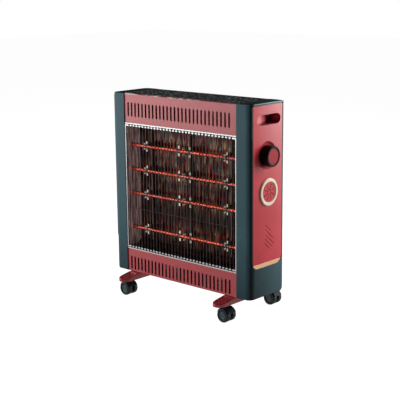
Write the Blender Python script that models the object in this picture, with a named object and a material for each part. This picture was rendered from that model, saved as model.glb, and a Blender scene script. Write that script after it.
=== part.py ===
"""Portable quartz heater on two foot bars with four twin-wheel casters.

Sizes are in millimetres and are turned into metres where a mesh is written. The body has its
own frame: x = 0 and y = 0 in its middle, z = 0 at the lower edge of the sheet-metal casing.
"""

from math import asin, cos, floor, hypot, pi, radians, sin

import bmesh
import bpy
from mathutils import Matrix, Vector

MM = 0.001
GAP = 0.3

# Body
BODY_WIDTH = 530.0
BODY_DEPTH = 146.0
BODY_HEIGHT = 540.0
CAP_WIDTH = 50.0
CAP_WALL = 2.5
CAP_CORNER = 19.0
CAP_FOOT_BEVEL = 4.0
CAP_TOP_BEVEL = 1.2
SHEET = 1.0
BEND_RADIUS = 1.4
PANEL_SETBACK = 2.8
PANEL_TONGUE = 17.0
TONGUE_FOOT = 4.0
TONGUE_HEAD = 6.0

# Heating window
WINDOW_LOW = 70.5
TOP_PANEL_HEIGHT = 86.5
GUARD_THICK = 2.2
GUARD_PROUD = 1.2
GUARD_RAIL = 9.4
GUARD_SIDE = 3.6
WIRE_PITCH = 12.3
WIRE_DIAMETER = 1.6
WIRE_ROOT = 3.0
COMB_WIDTH = 5.6
COMB_DEPTH = 6.5
CROSS_WIRE_SHARE = 0.333

# Slots
SLOT_PITCH = 14.4
SLOT_ROW_X = -5.5
SLOT_WIDTH = 6.5
SLOT_HEIGHT = 42.0
TOP_SLOT_DROP = 26.0
LOW_SLOT_RISE = 6.0
REAR_SLOT_WIDTH = 9.0
REAR_SLOT_HEIGHT = 56.0
REAR_SLOT_PITCH = 28.8
REAR_SLOT_MARGIN = 18.0
BASE_SHEET = 1.2
BASE_SLOT_LENGTH = 32.0
BASE_SLOT_WIDTH = 4.0
BASE_SLOT_PITCH = 60.0
BASE_SLOT_Y = 54.0

# Top grille
GRILLE_HEIGHT = 6.0
GRILLE_BORDER = 6.0
FOLD_DEPTH = 10.2
LEDGE_DEPTH = 7.0
DIAMOND_WIDTH = 14.4
DIAMOND_LENGTH = 42.0
DIAMOND_BAR = 2.5
DIAMOND_LEAST_AREA = 25.0

# Reflector, tubes and coils
TRAY_SHEET = 0.8
TRAY_MARGIN = 1.5
TRAY_BACK_Y = -15.0
TRAY_LIP = 15.0
TRAY_CHAMFER = 14.0
TUBE_Y = -45.0
TUBE_DIAMETER = 11.0
TUBE_BORE = 8.4
TUBE_SHARES = (0.8203, 0.6302, 0.4401, 0.1667)
COIL_WIRE = 1.0
COIL_DIAMETER = 7.6
COIL_CURLS = 10
COIL_POINTS = 8
COIL_LEAD = 14.0
TUBE_STICK_OUT = 12.0
SPIGOT_DIAMETER = 15.6
CERAMIC_BACK = 5.0
CERAMIC_FLANGE = 2.2
RACK_THICK = 3.0
RACK_ARM = 20.0
RACK_SPINE = 7.0
RACK_INSET = 56.0

# Side panels, knob and vent
INSERT_THICK = 2.5
INSERT_HALF = 64.2
RECESS_DEPTH = 3.0
RECESS_LOW = 86.0
RECESS_TOP_MARGIN = 4.7
RECESS_CORNER = 24.0
RECESS_TOP_CORNER = 4.0
RECESS_LEDGE = 6.0
TRIM_HEIGHT = 11.6
GRIP_DROP = 46.0
GRIP_HEIGHT = 28.0
GRIP_FRONT = -45.0
GRIP_LIP = 1.0
GRIP_RAMP_END = 44.0
GRIP_RAMP_DEPTH = 34.0
GRIP_REAR = 56.0
GRIP_DEPTH = 38.0
GRIP_WALL = 1.8
KNOB_Y = -1.0
KNOB_Z = 396.0
KNOB_DIAMETER = 58.0
KNOB_PROUD = 23.0
KNOB_RIM = 2.0
KNOB_BORE_DEPTH = 12.0
KNOB_CAP_DIAMETER = 44.0
KNOB_CAP_THICK = 2.0
KNOB_CAP_RECESS = 1.2
DISH_DIAMETER = 80.0
DISH_DEPTH = 4.0
DISH_SLOPE = 6.5
SHAFT_DIAMETER = 6.0
VENT_Y = 5.0
VENT_CUT_DIAMETER = 50.0
VENT_Z = 294.5
VENT_OUTER = 77.0
VENT_INNER = 57.0
VENT_RING_THICK = 3.5
VENT_DISC_THICK = 2.0
VENT_HOLE = 4.4
VENT_HOLE_RINGS = (8.0, 14.5, 21.0)
VENT_SPOKES = 8
STRIPE_COUNT = 5
STRIPE_LEAST = 0.4
STRIPE_Y = -11.0
STRIPE_Z = 203.0
STRIPE_STEP_Y = -1.0
STRIPE_STEP_Z = -12.5
STRIPE_RUN = 40.0
STRIPE_DROP = 34.0
STRIPE_WIDTH = 6.0
STRIPE_DEPTH = 0.6

# Electrics inside
SWITCH_SIZE = 40.0
SWITCH_LENGTH = 28.0
SWITCH_SEAT = 8.0
GLAND_INSET = 115.0
GLAND_Z = 40.0
GLAND_DIAMETER = 12.0
GLAND_FLANGE = 18.0
GLAND_BORE = 7.0
BLOCK_X = -120.0
BLOCK_Y = 30.0
BLOCK_WIDTH = 60.0
BLOCK_DEPTH = 16.0
BLOCK_HEIGHT = 20.0
BLOCK_SCREWS = 5
BLOCK_SCREW_PITCH = 11.0
TIP_SWITCH_X = 75.0
TIP_SWITCH_Y = 30.0
TIP_SWITCH_WIDTH = 30.0
TIP_SWITCH_DEPTH = 20.0
TIP_SWITCH_HEIGHT = 35.0

# Feet and casters
FOOT_INSET = 78.0
FOOT_Y = 13.0
FOOT_WIDTH = 40.0
FOOT_LENGTH = 286.0
FOOT_HEIGHT = 18.0
FOOT_WALL = 2.0
FOOT_TIP_DROP = 8.7
FOOT_EDGE = 1.6
PRESSING_MARGIN = 6.0
PRESSING_DEPTH = 0.9
BOSS_DIAMETER = 14.0
TIP_STEPS = 8
CASTER_SPREAD = 103.5
CASTER_HEIGHT = 48.0
CASTER_TRAIL = 7.5
WHEEL_DIAMETER = 40.0
WHEEL_SIDES = 16
WHEEL_PAIR_WIDTH = 37.0
HOOD_CLEARANCE = 0.9
HOOD_WALL = 2.0
HOOD_SETBACK = 3.5
NECK_DIAMETER = 16.0
FIN_THICK = 9.0
AXLE_DIAMETER = 5.0
STEM_DIAMETER = 8.0

# Places that follow from the sizes above
HALF_W = BODY_WIDTH / 2
HALF_D = BODY_DEPTH / 2
CAP_X = HALF_W - CAP_WIDTH
PANEL_Y = HALF_D - PANEL_SETBACK
WINDOW_HIGH = BODY_HEIGHT - TOP_PANEL_HEIGHT
WINDOW_HEIGHT = WINDOW_HIGH - WINDOW_LOW
OPENING_X = CAP_X - GAP - GUARD_SIDE
RACK_X = OPENING_X - RACK_INSET
GLAND_X = HALF_W - GLAND_INSET
FOOT_X = HALF_W - FOOT_INSET
PAST = 4.0
TUBE_HEIGHTS = [WINDOW_LOW + share * WINDOW_HEIGHT for share in TUBE_SHARES]
FLOOR_GAP = FOOT_HEIGHT + CASTER_HEIGHT
INSERT_X = HALF_W - RECESS_DEPTH + GAP
INSERT_FACE = INSERT_X + INSERT_THICK
INSERT_LOW = RECESS_LOW + TRIM_HEIGHT + 2 * GAP
DISH_FLOOR = INSERT_FACE - DISH_DEPTH


# Scene, materials and mesh helpers
def clear_scene():
    for item in list(bpy.data.objects):
        bpy.data.objects.remove(item, do_unlink=True)


def make_material(name, colour, roughness, metallic=0.0, glow=0.0, clear=0.0):
    material = bpy.data.materials.new(name)
    material.use_nodes = True
    shader = material.node_tree.nodes["Principled BSDF"]
    shader.inputs["Base Color"].default_value = (*colour, 1.0)
    shader.inputs["Roughness"].default_value = roughness
    shader.inputs["Metallic"].default_value = metallic
    shader.inputs["Transmission Weight"].default_value = clear
    shader.inputs["Emission Color"].default_value = (*colour, 1.0)
    shader.inputs["Emission Strength"].default_value = glow
    return material


def make_empty(name, place, parent=None):
    empty = bpy.data.objects.new(name, None)
    empty.empty_display_size = 0.02
    empty.location = Vector(place) * MM
    empty.parent = parent
    bpy.context.collection.objects.link(empty)
    return empty


def make_object(name, mesh_data, material, parent, place=(0.0, 0.0, 0.0), smooth=0.0):
    """Write a bmesh in millimetres as an object in metres, its faces turned outward."""
    bmesh.ops.recalc_face_normals(mesh_data, faces=mesh_data.faces)
    bmesh.ops.scale(mesh_data, vec=(MM, MM, MM), verts=mesh_data.verts)
    mesh = bpy.data.meshes.new(name)
    mesh_data.to_mesh(mesh)
    mesh_data.free()
    made = bpy.data.objects.new(name, mesh)
    bpy.context.collection.objects.link(made)
    made.location = Vector(place) * MM
    made.parent = parent
    if material is not None:
        mesh.materials.append(material)
    if smooth:
        mesh.shade_smooth()
        mesh.set_sharp_from_angle(angle=radians(smooth))
    return made


def as_cutter(made):
    made.hide_render = True
    made.display_type = "WIRE"
    return made


def combine(made, other, operation):
    """Add the other solid to this one or cut it out."""
    change = made.modifiers.new(operation.title(), "BOOLEAN")
    change.operation = operation
    change.solver = "EXACT"
    change.object = as_cutter(other)


def add_prism(mesh_data, outline, low, high, axis):
    """Extrude a closed outline between two planes square to the axis."""
    def point(first, second, height):
        if axis == "X":
            return (height, first, second)
        if axis == "Y":
            return (first, height, second)
        return (first, second, height)

    bottom = [mesh_data.verts.new(point(a, b, low)) for a, b in outline]
    top = [mesh_data.verts.new(point(a, b, high)) for a, b in outline]
    mesh_data.faces.new(bottom)
    mesh_data.faces.new(top)
    for index in range(len(outline)):
        after = (index + 1) % len(outline)
        mesh_data.faces.new((bottom[index], bottom[after], top[after], top[index]))


def add_box(mesh_data, x_range, y_range, z_range):
    corners = [(x_range[0], y_range[0]), (x_range[1], y_range[0]),
               (x_range[1], y_range[1]), (x_range[0], y_range[1])]
    add_prism(mesh_data, corners, z_range[0], z_range[1], "Z")


def add_lathe(mesh_data, profile, sides, axis, centre=(0.0, 0.0, 0.0), turn=0.5):
    """Turn a profile of (radius, height) points about an axis; radius 0 closes on the axis."""
    def point(radius, height, angle):
        across = radius * cos(angle)
        along = radius * sin(angle)
        if axis == "X":
            place = (height, across, along)
        elif axis == "Y":
            place = (along, height, across)
        else:
            place = (across, along, height)
        return Vector(place) + Vector(centre)

    rings = []
    for radius, height in profile:
        if radius == 0:
            rings.append([mesh_data.verts.new(point(0.0, height, 0.0))])
            continue
        angles = [2 * pi * (step + turn) / sides for step in range(sides)]
        rings.append([mesh_data.verts.new(point(radius, height, angle)) for angle in angles])
    pairs = list(zip(rings, rings[1:]))
    if profile[0][0] > 0:
        pairs.append((rings[-1], rings[0]))
    for ring, other in pairs:
        for step in range(sides):
            after = (step + 1) % sides
            if len(ring) == 1:
                mesh_data.faces.new((ring[0], other[step], other[after]))
            elif len(other) == 1:
                mesh_data.faces.new((ring[step], ring[after], other[0]))
            else:
                mesh_data.faces.new((ring[step], ring[after], other[after], other[step]))


# Outlines
def arc(centre, radius, start, end, steps):
    angles = [radians(start + (end - start) * step / steps) for step in range(steps + 1)]
    return [(centre[0] + radius * cos(a), centre[1] + radius * sin(a)) for a in angles]


def rounded_rectangle(low, high, radii, steps=3):
    """Rectangle with its own radius at each corner: low-low, high-low, high-high, low-high."""
    corners = [(low[0], low[1], 180, 1, 1), (high[0], low[1], 270, -1, 1),
               (high[0], high[1], 0, -1, -1), (low[0], high[1], 90, 1, -1)]
    outline = []
    for (x, y, start, in_x, in_y), radius in zip(corners, radii):
        if radius <= 0:
            outline.append((x, y))
            continue
        centre = (x + in_x * radius, y + in_y * radius)
        outline += arc(centre, radius, start, start + 90, steps)
    return outline


def stadium(left, right, centre, radius, steps=6):
    """Bar with round ends between two end points along the first direction."""
    outline = arc((right - radius, centre), radius, -90, 90, steps)
    outline += arc((left + radius, centre), radius, 90, 270, steps)
    return outline


def slot_outline(x, low, width, height, steps=3):
    radius = width / 2
    outline = arc((x, low + height - radius), radius, 0, 180, steps)
    outline += arc((x, low + radius), radius, 180, 360, steps)
    return outline


def folded_sheet(centre_line, thickness, radius, steps=2):
    """Outline of a bent sheet from its centre line; each bend is an arc of the radius."""
    points = [Vector(point) for point in centre_line]
    path = [(points[0], (points[1] - points[0]).normalized())]
    for before, corner, after in zip(points, points[1:], points[2:]):
        come = (corner - before).normalized()
        leave = (after - corner).normalized()
        turn = asin(max(-1.0, min(1.0, come.x * leave.y - come.y * leave.x)))
        side = 1.0 if turn > 0 else -1.0
        start = corner - come * radius
        centre = start + Vector((-come.y, come.x)) * radius * side
        for step in range(steps + 1):
            angle = turn * step / steps
            swing = Matrix.Rotation(angle, 2)
            path.append((centre + swing @ (start - centre), swing @ come))
    path.append((points[-1], (points[-1] - points[-2]).normalized()))
    left = []
    right = []
    for place, way in path:
        normal = Vector((-way.y, way.x)) * thickness / 2
        left.append(tuple(place + normal))
        right.append(tuple(place - normal))
    return left + right[::-1]


def centred_places(pitch, count):
    return [(index - (count - 1) / 2) * pitch for index in range(count)]


def row_count(length, pitch):
    return int(floor(length / pitch + 1e-6))


clear_scene()

# Materials, one for each kind of stuff in the photo
PAINT = make_material("red_sheet", (0.42, 0.075, 0.085), 0.38, 0.25)
SLATE = make_material("slate_plastic", (0.035, 0.062, 0.075), 0.42)
BLACK = make_material("black_plastic", (0.012, 0.012, 0.014), 0.4)
CRIMSON = make_material("red_plastic", (0.39, 0.035, 0.055), 0.4)
COPPER = make_material("copper_trim", (0.9, 0.55, 0.38), 0.28, 0.9)
IVORY = make_material("ivory_plastic", (0.88, 0.78, 0.6), 0.45)
CHROME = make_material("bright_chrome", (0.8, 0.8, 0.82), 0.12, 1.0)
MIRROR = make_material("tray_steel", (0.62, 0.6, 0.58), 0.2, 1.0)
QUARTZ = make_material("quartz_glass", (0.95, 0.9, 0.88), 0.1, 0.0, 0.0, 0.9)
COIL = make_material("glowing_coil", (1.0, 0.16, 0.03), 0.5, 0.0, 6.0)
CERAMIC = make_material("white_ceramic", (0.82, 0.79, 0.73), 0.55)
ZINC = make_material("zinc_steel", (0.45, 0.46, 0.48), 0.35, 1.0)
MAROON = make_material("gloss_maroon", (0.2, 0.012, 0.018), 0.16, 0.2)
CHARCOAL = make_material("charcoal_plastic", (0.016, 0.024, 0.029), 0.45)
TERMINAL = make_material("terminal_plastic", (0.62, 0.6, 0.52), 0.5)

BODY = make_empty("body_frame", (-KNOB_PROUD / 2, -FOOT_Y, FLOOR_GAP))


# Casing sheets
def sheet_panel(name, centre_line, face_y, slots, tongue_range):
    """Bend a sheet along x, keep its end tongues to a height range and punch its slots."""
    panel = bmesh.new()
    outline = folded_sheet(centre_line, SHEET, BEND_RADIUS)
    add_prism(panel, outline, -CAP_X - PANEL_TONGUE, CAP_X + PANEL_TONGUE, "X")
    made = make_object(name, panel, PAINT, BODY)
    punch = bmesh.new()
    for side in (-1, 1):
        across = sorted((side * (CAP_X - GAP), side * (CAP_X + PANEL_TONGUE + PAST)))
        for low, high in ((-PAST, tongue_range[0]), (tongue_range[1], BODY_HEIGHT + PAST)):
            if high - low > PAST:
                add_box(punch, across, (-HALF_D - PAST, HALF_D + PAST), (low, high))
    for outline in slots:
        add_prism(punch, outline, face_y - PAST, face_y + PAST, "Y")
    combine(made, make_object(name + "_punch", punch, None, BODY), "DIFFERENCE")
    return made


def top_fold(side):
    """Centre line of a panel's top: folded in, stepped down and out into the grille's seat."""
    face = side * (PANEL_Y - SHEET / 2)
    step = side * (PANEL_Y - FOLD_DEPTH + SHEET / 2)
    ledge = side * (PANEL_Y - FOLD_DEPTH - LEDGE_DEPTH)
    top = BODY_HEIGHT - SHEET / 2
    seat = BODY_HEIGHT - GRILLE_HEIGHT - GAP - SHEET / 2
    return [(face, top), (step, top), (step, seat), (ledge, seat)]


front = -PANEL_Y + SHEET / 2
slot_count = row_count(2 * (CAP_X - GUARD_SIDE), SLOT_PITCH) - 1
slot_columns = [SLOT_ROW_X + x for x in centred_places(SLOT_PITCH, slot_count)]
upper_slots = [slot_outline(x, BODY_HEIGHT - TOP_SLOT_DROP - SLOT_HEIGHT, SLOT_WIDTH, SLOT_HEIGHT)
               for x in slot_columns]
sheet_panel("upper_front_panel", [(front, WINDOW_HIGH)] + top_fold(-1), front, upper_slots,
            (WINDOW_HIGH - PAST, BODY_HEIGHT - TONGUE_HEAD))

lower_slots = [slot_outline(x, LOW_SLOT_RISE, SLOT_WIDTH, SLOT_HEIGHT) for x in slot_columns]
lower_line = [(front, WINDOW_LOW - GAP), (front, SHEET / 2), (front + FOLD_DEPTH, SHEET / 2)]
sheet_panel("lower_front_panel", lower_line, front, lower_slots, (TONGUE_FOOT, BODY_HEIGHT))

rear_count = row_count(2 * CAP_X, REAR_SLOT_PITCH) - 1
rear_slots = []
for low in (WINDOW_LOW + REAR_SLOT_MARGIN, WINDOW_HIGH - REAR_SLOT_MARGIN - REAR_SLOT_HEIGHT):
    for x in centred_places(REAR_SLOT_PITCH, rear_count):
        rear_slots.append(slot_outline(x, low, REAR_SLOT_WIDTH, REAR_SLOT_HEIGHT))
rear_slots.append(arc((GLAND_X, GLAND_Z), GLAND_DIAMETER / 2 + GAP, 0, 337.5, 15))
rear = PANEL_Y - SHEET / 2
rear_line = [(rear - FOLD_DEPTH, SHEET / 2), (rear, SHEET / 2)] + top_fold(1)
sheet_panel("rear_panel", rear_line, rear, rear_slots, (TONGUE_FOOT, BODY_HEIGHT - TONGUE_HEAD))

base = bmesh.new()
base_low = SHEET + GAP
base_top = base_low + BASE_SHEET
add_box(base, (-CAP_X + 2 * GAP, CAP_X - 2 * GAP), (-PANEL_Y + SHEET + GAP, PANEL_Y - SHEET - GAP),
        (base_low, base_top))
base_object = make_object("base_plate", base, ZINC, BODY)
base_punch = bmesh.new()
base_slot_y = (BASE_SLOT_Y - BASE_SLOT_WIDTH / 2, BASE_SLOT_Y + BASE_SLOT_WIDTH / 2)
for x in centred_places(BASE_SLOT_PITCH, row_count(2 * CAP_X - BASE_SLOT_LENGTH, BASE_SLOT_PITCH)):
    add_box(base_punch, (x - BASE_SLOT_LENGTH / 2, x + BASE_SLOT_LENGTH / 2), base_slot_y,
            (base_low - PAST, base_top + PAST))
combine(base_object, make_object("base_punch", base_punch, None, BODY), "DIFFERENCE")


# Top grille: a frame with a lattice of long diamonds
def clip_outline(outline, limit, direction):
    """Keep the part of a convex outline whose component along direction is below the limit."""
    kept = []
    for here, after in zip(outline, outline[1:] + outline[:1]):
        reach_here = here[0] * direction[0] + here[1] * direction[1] - limit
        reach_after = after[0] * direction[0] + after[1] * direction[1] - limit
        if reach_here <= 0:
            kept.append(here)
        if (reach_here < 0) != (reach_after < 0) and abs(reach_here - reach_after) > 1e-9:
            share = reach_here / (reach_here - reach_after)
            kept.append((here[0] + share * (after[0] - here[0]),
                         here[1] + share * (after[1] - here[1])))
    return kept


def outline_area(outline):
    total = 0.0
    for here, after in zip(outline, outline[1:] + outline[:1]):
        total += here[0] * after[1] - after[0] * here[1]
    return abs(total) / 2


grille_x = CAP_X - 2 * GAP
grille_y = PANEL_Y - FOLD_DEPTH - GAP
field_x = grille_x - GRILLE_BORDER
field_y = grille_y - GRILLE_BORDER
half_wide = DIAMOND_WIDTH / 2
half_long = DIAMOND_LENGTH / 2
edge_distance = half_wide * half_long / hypot(half_wide, half_long)
shrink = 1 - DIAMOND_BAR / 2 / edge_distance
columns = int(field_x / half_wide) + 2
rows = int(field_y / half_long) + 2
holes = bmesh.new()
for column in range(-columns, columns + 1):
    for row in range(-rows, rows + 1):
        if (column + row) % 2:
            continue
        x = column * half_wide
        y = row * half_long
        diamond = [(x + half_wide * shrink, y), (x, y + half_long * shrink),
                   (x - half_wide * shrink, y), (x, y - half_long * shrink)]
        for direction, limit in (((1, 0), field_x), ((-1, 0), field_x),
                                 ((0, 1), field_y), ((0, -1), field_y)):
            if diamond:
                diamond = clip_outline(diamond, limit, direction)
        if len(diamond) > 2 and outline_area(diamond) > DIAMOND_LEAST_AREA:
            add_prism(holes, diamond, BODY_HEIGHT - GRILLE_HEIGHT - PAST, BODY_HEIGHT + PAST, "Z")
grille = bmesh.new()
add_box(grille, (-grille_x, grille_x), (-grille_y, grille_y),
        (BODY_HEIGHT - GRILLE_HEIGHT, BODY_HEIGHT))
grille_object = make_object("top_grille", grille, BLACK, BODY)
combine(grille_object, make_object("grille_holes", holes, None, BODY), "DIFFERENCE")


# Guard: frame with combed rails, wires welded into the comb teeth
guard_low = WINDOW_LOW + GAP
guard_high = WINDOW_HIGH - GAP
guard_front = -PANEL_Y - GUARD_PROUD
guard_back = guard_front + GUARD_THICK
open_low = guard_low + GUARD_RAIL
open_high = guard_high - GUARD_RAIL
guard = bmesh.new()
add_box(guard, (-CAP_X + GAP, CAP_X - GAP), (guard_front, guard_back), (guard_low, guard_high))
guard_object = make_object("front_guard", guard, CHROME, BODY)
comb_count = row_count(2 * OPENING_X - COMB_WIDTH, WIRE_PITCH)
if comb_count % 2 == 0:
    comb_count -= 1
combs = centred_places(WIRE_PITCH, comb_count)
opening = [(-OPENING_X, open_low)]
for x in combs:
    opening += [(x - COMB_WIDTH / 2, open_low), (x - COMB_WIDTH / 2, open_low - COMB_DEPTH),
                (x + COMB_WIDTH / 2, open_low - COMB_DEPTH), (x + COMB_WIDTH / 2, open_low)]
opening.append((OPENING_X, open_low))
opening.append((OPENING_X, open_high))
for x in reversed(combs):
    opening += [(x + COMB_WIDTH / 2, open_high), (x + COMB_WIDTH / 2, open_high + COMB_DEPTH),
                (x - COMB_WIDTH / 2, open_high + COMB_DEPTH), (x - COMB_WIDTH / 2, open_high)]
opening.append((-OPENING_X, open_high))
window = bmesh.new()
add_prism(window, opening, guard_front - PAST, guard_back + PAST, "Y")
combine(guard_object, make_object("guard_window", window, None, BODY), "DIFFERENCE")
wires = bmesh.new()
wire_y = (guard_front + guard_back) / 2
for x in centred_places(WIRE_PITCH, comb_count + 1):
    if abs(x) < OPENING_X - WIRE_DIAMETER:
        add_lathe(wires, [(0, open_low - WIRE_ROOT), (WIRE_DIAMETER / 2, open_low - WIRE_ROOT),
                          (WIRE_DIAMETER / 2, open_high + WIRE_ROOT), (0, open_high + WIRE_ROOT)],
                  6, "Z", (x, wire_y, 0.0), 0.0)
combine(guard_object, make_object("guard_wires", wires, None, BODY), "UNION")

cross = bmesh.new()
cross_y = wire_y + WIRE_DIAMETER + GAP
cross_z = WINDOW_LOW + CROSS_WIRE_SHARE * WINDOW_HEIGHT
cross_end = OPENING_X - GAP
add_lathe(cross, [(0, -cross_end), (WIRE_DIAMETER / 2, -cross_end),
                  (WIRE_DIAMETER / 2, cross_end), (0, cross_end)],
          8, "X", (0.0, cross_y, cross_z))
make_object("guard_cross_wire", cross, CHROME, BODY, smooth=50.0)


# Reflector tray, open to the front, with a lip behind the panels and the guard
def add_tray_loops(mesh_data, loops):
    rings = [[mesh_data.verts.new(point) for point in loop] for loop in loops]
    for ring, other in zip(rings, rings[1:]):
        for index in range(len(ring)):
            after = (index + 1) % len(ring)
            mesh_data.faces.new((ring[index], ring[after], other[after], other[index]))
    mesh_data.faces.new(rings[-1])


def chamfered_loop(x, low, high, cut, y):
    return [(-x, y, low + cut), (-x + cut, y, low), (x - cut, y, low), (x, y, low + cut),
            (x, y, high - cut), (x - cut, y, high), (-x + cut, y, high), (-x, y, high - cut)]


tray_low = open_low - TRAY_MARGIN
tray_high = open_high + TRAY_MARGIN
tray_lip_y = guard_back + GAP + TRAY_SHEET
tray = bmesh.new()
add_tray_loops(tray, [
    chamfered_loop(OPENING_X + TRAY_LIP, tray_low - TRAY_LIP, tray_high + TRAY_LIP, 3.0, tray_lip_y),
    chamfered_loop(OPENING_X, tray_low, tray_high, 1.5, tray_lip_y),
    chamfered_loop(OPENING_X, tray_low, tray_high, 1.5, TRAY_BACK_Y - TRAY_CHAMFER),
    chamfered_loop(OPENING_X, tray_low + TRAY_CHAMFER, tray_high - TRAY_CHAMFER, 1.5, TRAY_BACK_Y),
])
tray_object = make_object("reflector", tray, MIRROR, BODY)
back_face = max(tray_object.data.polygons, key=lambda face: face.center.y)
if back_face.normal.y > 0:
    tray_object.data.flip_normals()
plate = tray_object.modifiers.new("Sheet", "SOLIDIFY")
plate.thickness = TRAY_SHEET * MM
plate.offset = -1.0
plate.use_even_offset = True
spigot_holes = bmesh.new()
for z in TUBE_HEIGHTS:
    for side in (-1, 1):
        ends = sorted((side * (OPENING_X - PAST), side * (OPENING_X + PAST)))
        add_lathe(spigot_holes, [(0, ends[0]), (SPIGOT_DIAMETER / 2 + GAP, ends[0]),
                                 (SPIGOT_DIAMETER / 2 + GAP, ends[1]), (0, ends[1])],
                  12, "X", (0.0, TUBE_Y, z))
combine(tray_object, make_object("reflector_holes", spigot_holes, None, BODY), "DIFFERENCE")


# Quartz tubes with their coils, ceramic ends and racks
TUBE_END = OPENING_X + TUBE_STICK_OUT
CERAMIC_END = TUBE_END + CERAMIC_BACK


def coil_points(reach, radius, curls, steps):
    """Wound wire: straight leads of several wire diameters, then curls at an even pitch."""
    start = -reach + COIL_LEAD
    wound = 2 * (reach - COIL_LEAD)
    points = [(-reach, radius, 0.0), (start - 4 * COIL_WIRE, radius, 0.0)]
    total = curls * steps
    for step in range(total + 1):
        angle = 2 * pi * step / steps
        points.append((start + wound * step / total, radius * cos(angle), radius * sin(angle)))
    points += [(reach - COIL_LEAD + 4 * COIL_WIRE, radius, 0.0), (reach, radius, 0.0)]
    return points


def least_gap(points, thickness, near):
    """Least distance between stretches of the coil that lie further apart than a half curl."""
    best = 1e9
    for index, here in enumerate(points):
        for other in range(index + near, len(points)):
            there = points[other]
            apart = hypot(hypot(here[0] - there[0], here[1] - there[1]), here[2] - there[2])
            best = min(best, apart)
    return best - thickness


coil_radius = (COIL_DIAMETER - COIL_WIRE) / 2
coil_reach = TUBE_END - GAP
coil_path = coil_points(coil_reach, coil_radius, COIL_CURLS, COIL_POINTS)
print("least gap of the coil to itself, mm:", round(least_gap(coil_path, COIL_WIRE, COIL_POINTS // 2), 2))
for number, z in enumerate(TUBE_HEIGHTS, 1):
    tube = bmesh.new()
    add_lathe(tube, [(TUBE_BORE / 2, -TUBE_END), (TUBE_DIAMETER / 2, -TUBE_END),
                     (TUBE_DIAMETER / 2, TUBE_END), (TUBE_BORE / 2, TUBE_END)],
              16, "X")
    make_object("quartz_tube_%d" % number, tube, QUARTZ, BODY, (0.0, TUBE_Y, z), 40.0)
    curve = bpy.data.curves.new("heating_coil_%d" % number, "CURVE")
    curve.dimensions = "3D"
    curve.bevel_depth = COIL_WIRE / 2 * MM
    curve.bevel_resolution = 1
    curve.use_fill_caps = True
    spline = curve.splines.new("POLY")
    spline.points.add(len(coil_path) - 1)
    for knot, place in zip(spline.points, coil_path):
        knot.co = (*(Vector(place) * MM), 1.0)
    curve.materials.append(COIL)
    coil = bpy.data.objects.new("heating_coil_%d" % number, curve)
    bpy.context.collection.objects.link(coil)
    coil.parent = BODY
    coil.location = Vector((0.0, TUBE_Y, z)) * MM
    for side, word in ((-1, "left"), (1, "right")):
        spigot = SPIGOT_DIAMETER / 2
        bore = TUBE_DIAMETER / 2 + GAP
        flange_x = OPENING_X + TRAY_SHEET + GAP
        profile = [(0, TUBE_END + GAP), (bore, TUBE_END + GAP), (bore, OPENING_X - 2.0),
                   (spigot, OPENING_X - 2.0), (spigot, flange_x), (spigot + CERAMIC_FLANGE, flange_x),
                   (spigot + CERAMIC_FLANGE, CERAMIC_END), (0, CERAMIC_END)]
        ceramic = bmesh.new()
        add_lathe(ceramic, [(r, side * x) for r, x in profile], 12, "X")
        make_object("ceramic_%s_%d" % (word, number), ceramic, CERAMIC, BODY,
                    (0.0, TUBE_Y, z), 40.0)

notch = TUBE_DIAMETER / 2 + GAP
rack_front = TUBE_Y - notch - 1.5
rack_back = TRAY_BACK_Y - GAP
spine_front = rack_back - RACK_SPINE
rack_outline = [(rack_back, tray_low + TRAY_CHAMFER + 4.0), (rack_back, tray_high - TRAY_CHAMFER - 4.0),
                (spine_front, tray_high - TRAY_CHAMFER - 4.0)]
for z in TUBE_HEIGHTS:
    rack_outline += [(spine_front, z + RACK_ARM / 2), (rack_front, z + RACK_ARM / 2),
                     (rack_front, z + notch), (TUBE_Y, z + notch)]
    rack_outline += arc((TUBE_Y, z), notch, 90, -90, 6)[1:-1]
    rack_outline += [(TUBE_Y, z - notch), (rack_front, z - notch), (rack_front, z - RACK_ARM / 2),
                     (spine_front, z - RACK_ARM / 2)]
rack_outline.append((spine_front, tray_low + TRAY_CHAMFER + 4.0))
for word, x in (("left", -RACK_X), ("middle", 0.0), ("right", RACK_X)):
    rack = bmesh.new()
    add_prism(rack, rack_outline, x - RACK_THICK / 2, x + RACK_THICK / 2, "X")
    make_object("tube_rack_" + word, rack, ZINC, BODY)


# End caps, side panels and trim strips
def mirrored(pair, side):
    return tuple(sorted((side * pair[0], side * pair[1])))


def cap_outline(grow, inner_x):
    """Plan view of the cap: square toward the body, rounded at its two outer corners."""
    radius = CAP_CORNER + grow
    return rounded_rectangle((inner_x, -HALF_D - grow), (HALF_W + grow, HALF_D + grow),
                             (0, radius, radius, 0), 6)


def recess_outline(inset):
    """Side view of the recess of a cap, drawn in by an inset for what lies in it."""
    half = INSERT_HALF + GAP - inset
    low_radius = RECESS_CORNER - inset
    top_radius = max(0.0, RECESS_TOP_CORNER - inset)
    top = BODY_HEIGHT - RECESS_TOP_MARGIN - inset
    return rounded_rectangle((-half, RECESS_LOW + inset), (half, top),
                             (low_radius, low_radius, top_radius, top_radius), 6)


def side_prism(name, outline, x_range, material, side):
    """A slab along x with the outline in side view, or a cutter of that shape."""
    slab = bmesh.new()
    add_prism(slab, outline, *mirrored(x_range, side), "X")
    return make_object(name, slab, material, BODY, smooth=18.0)


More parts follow.
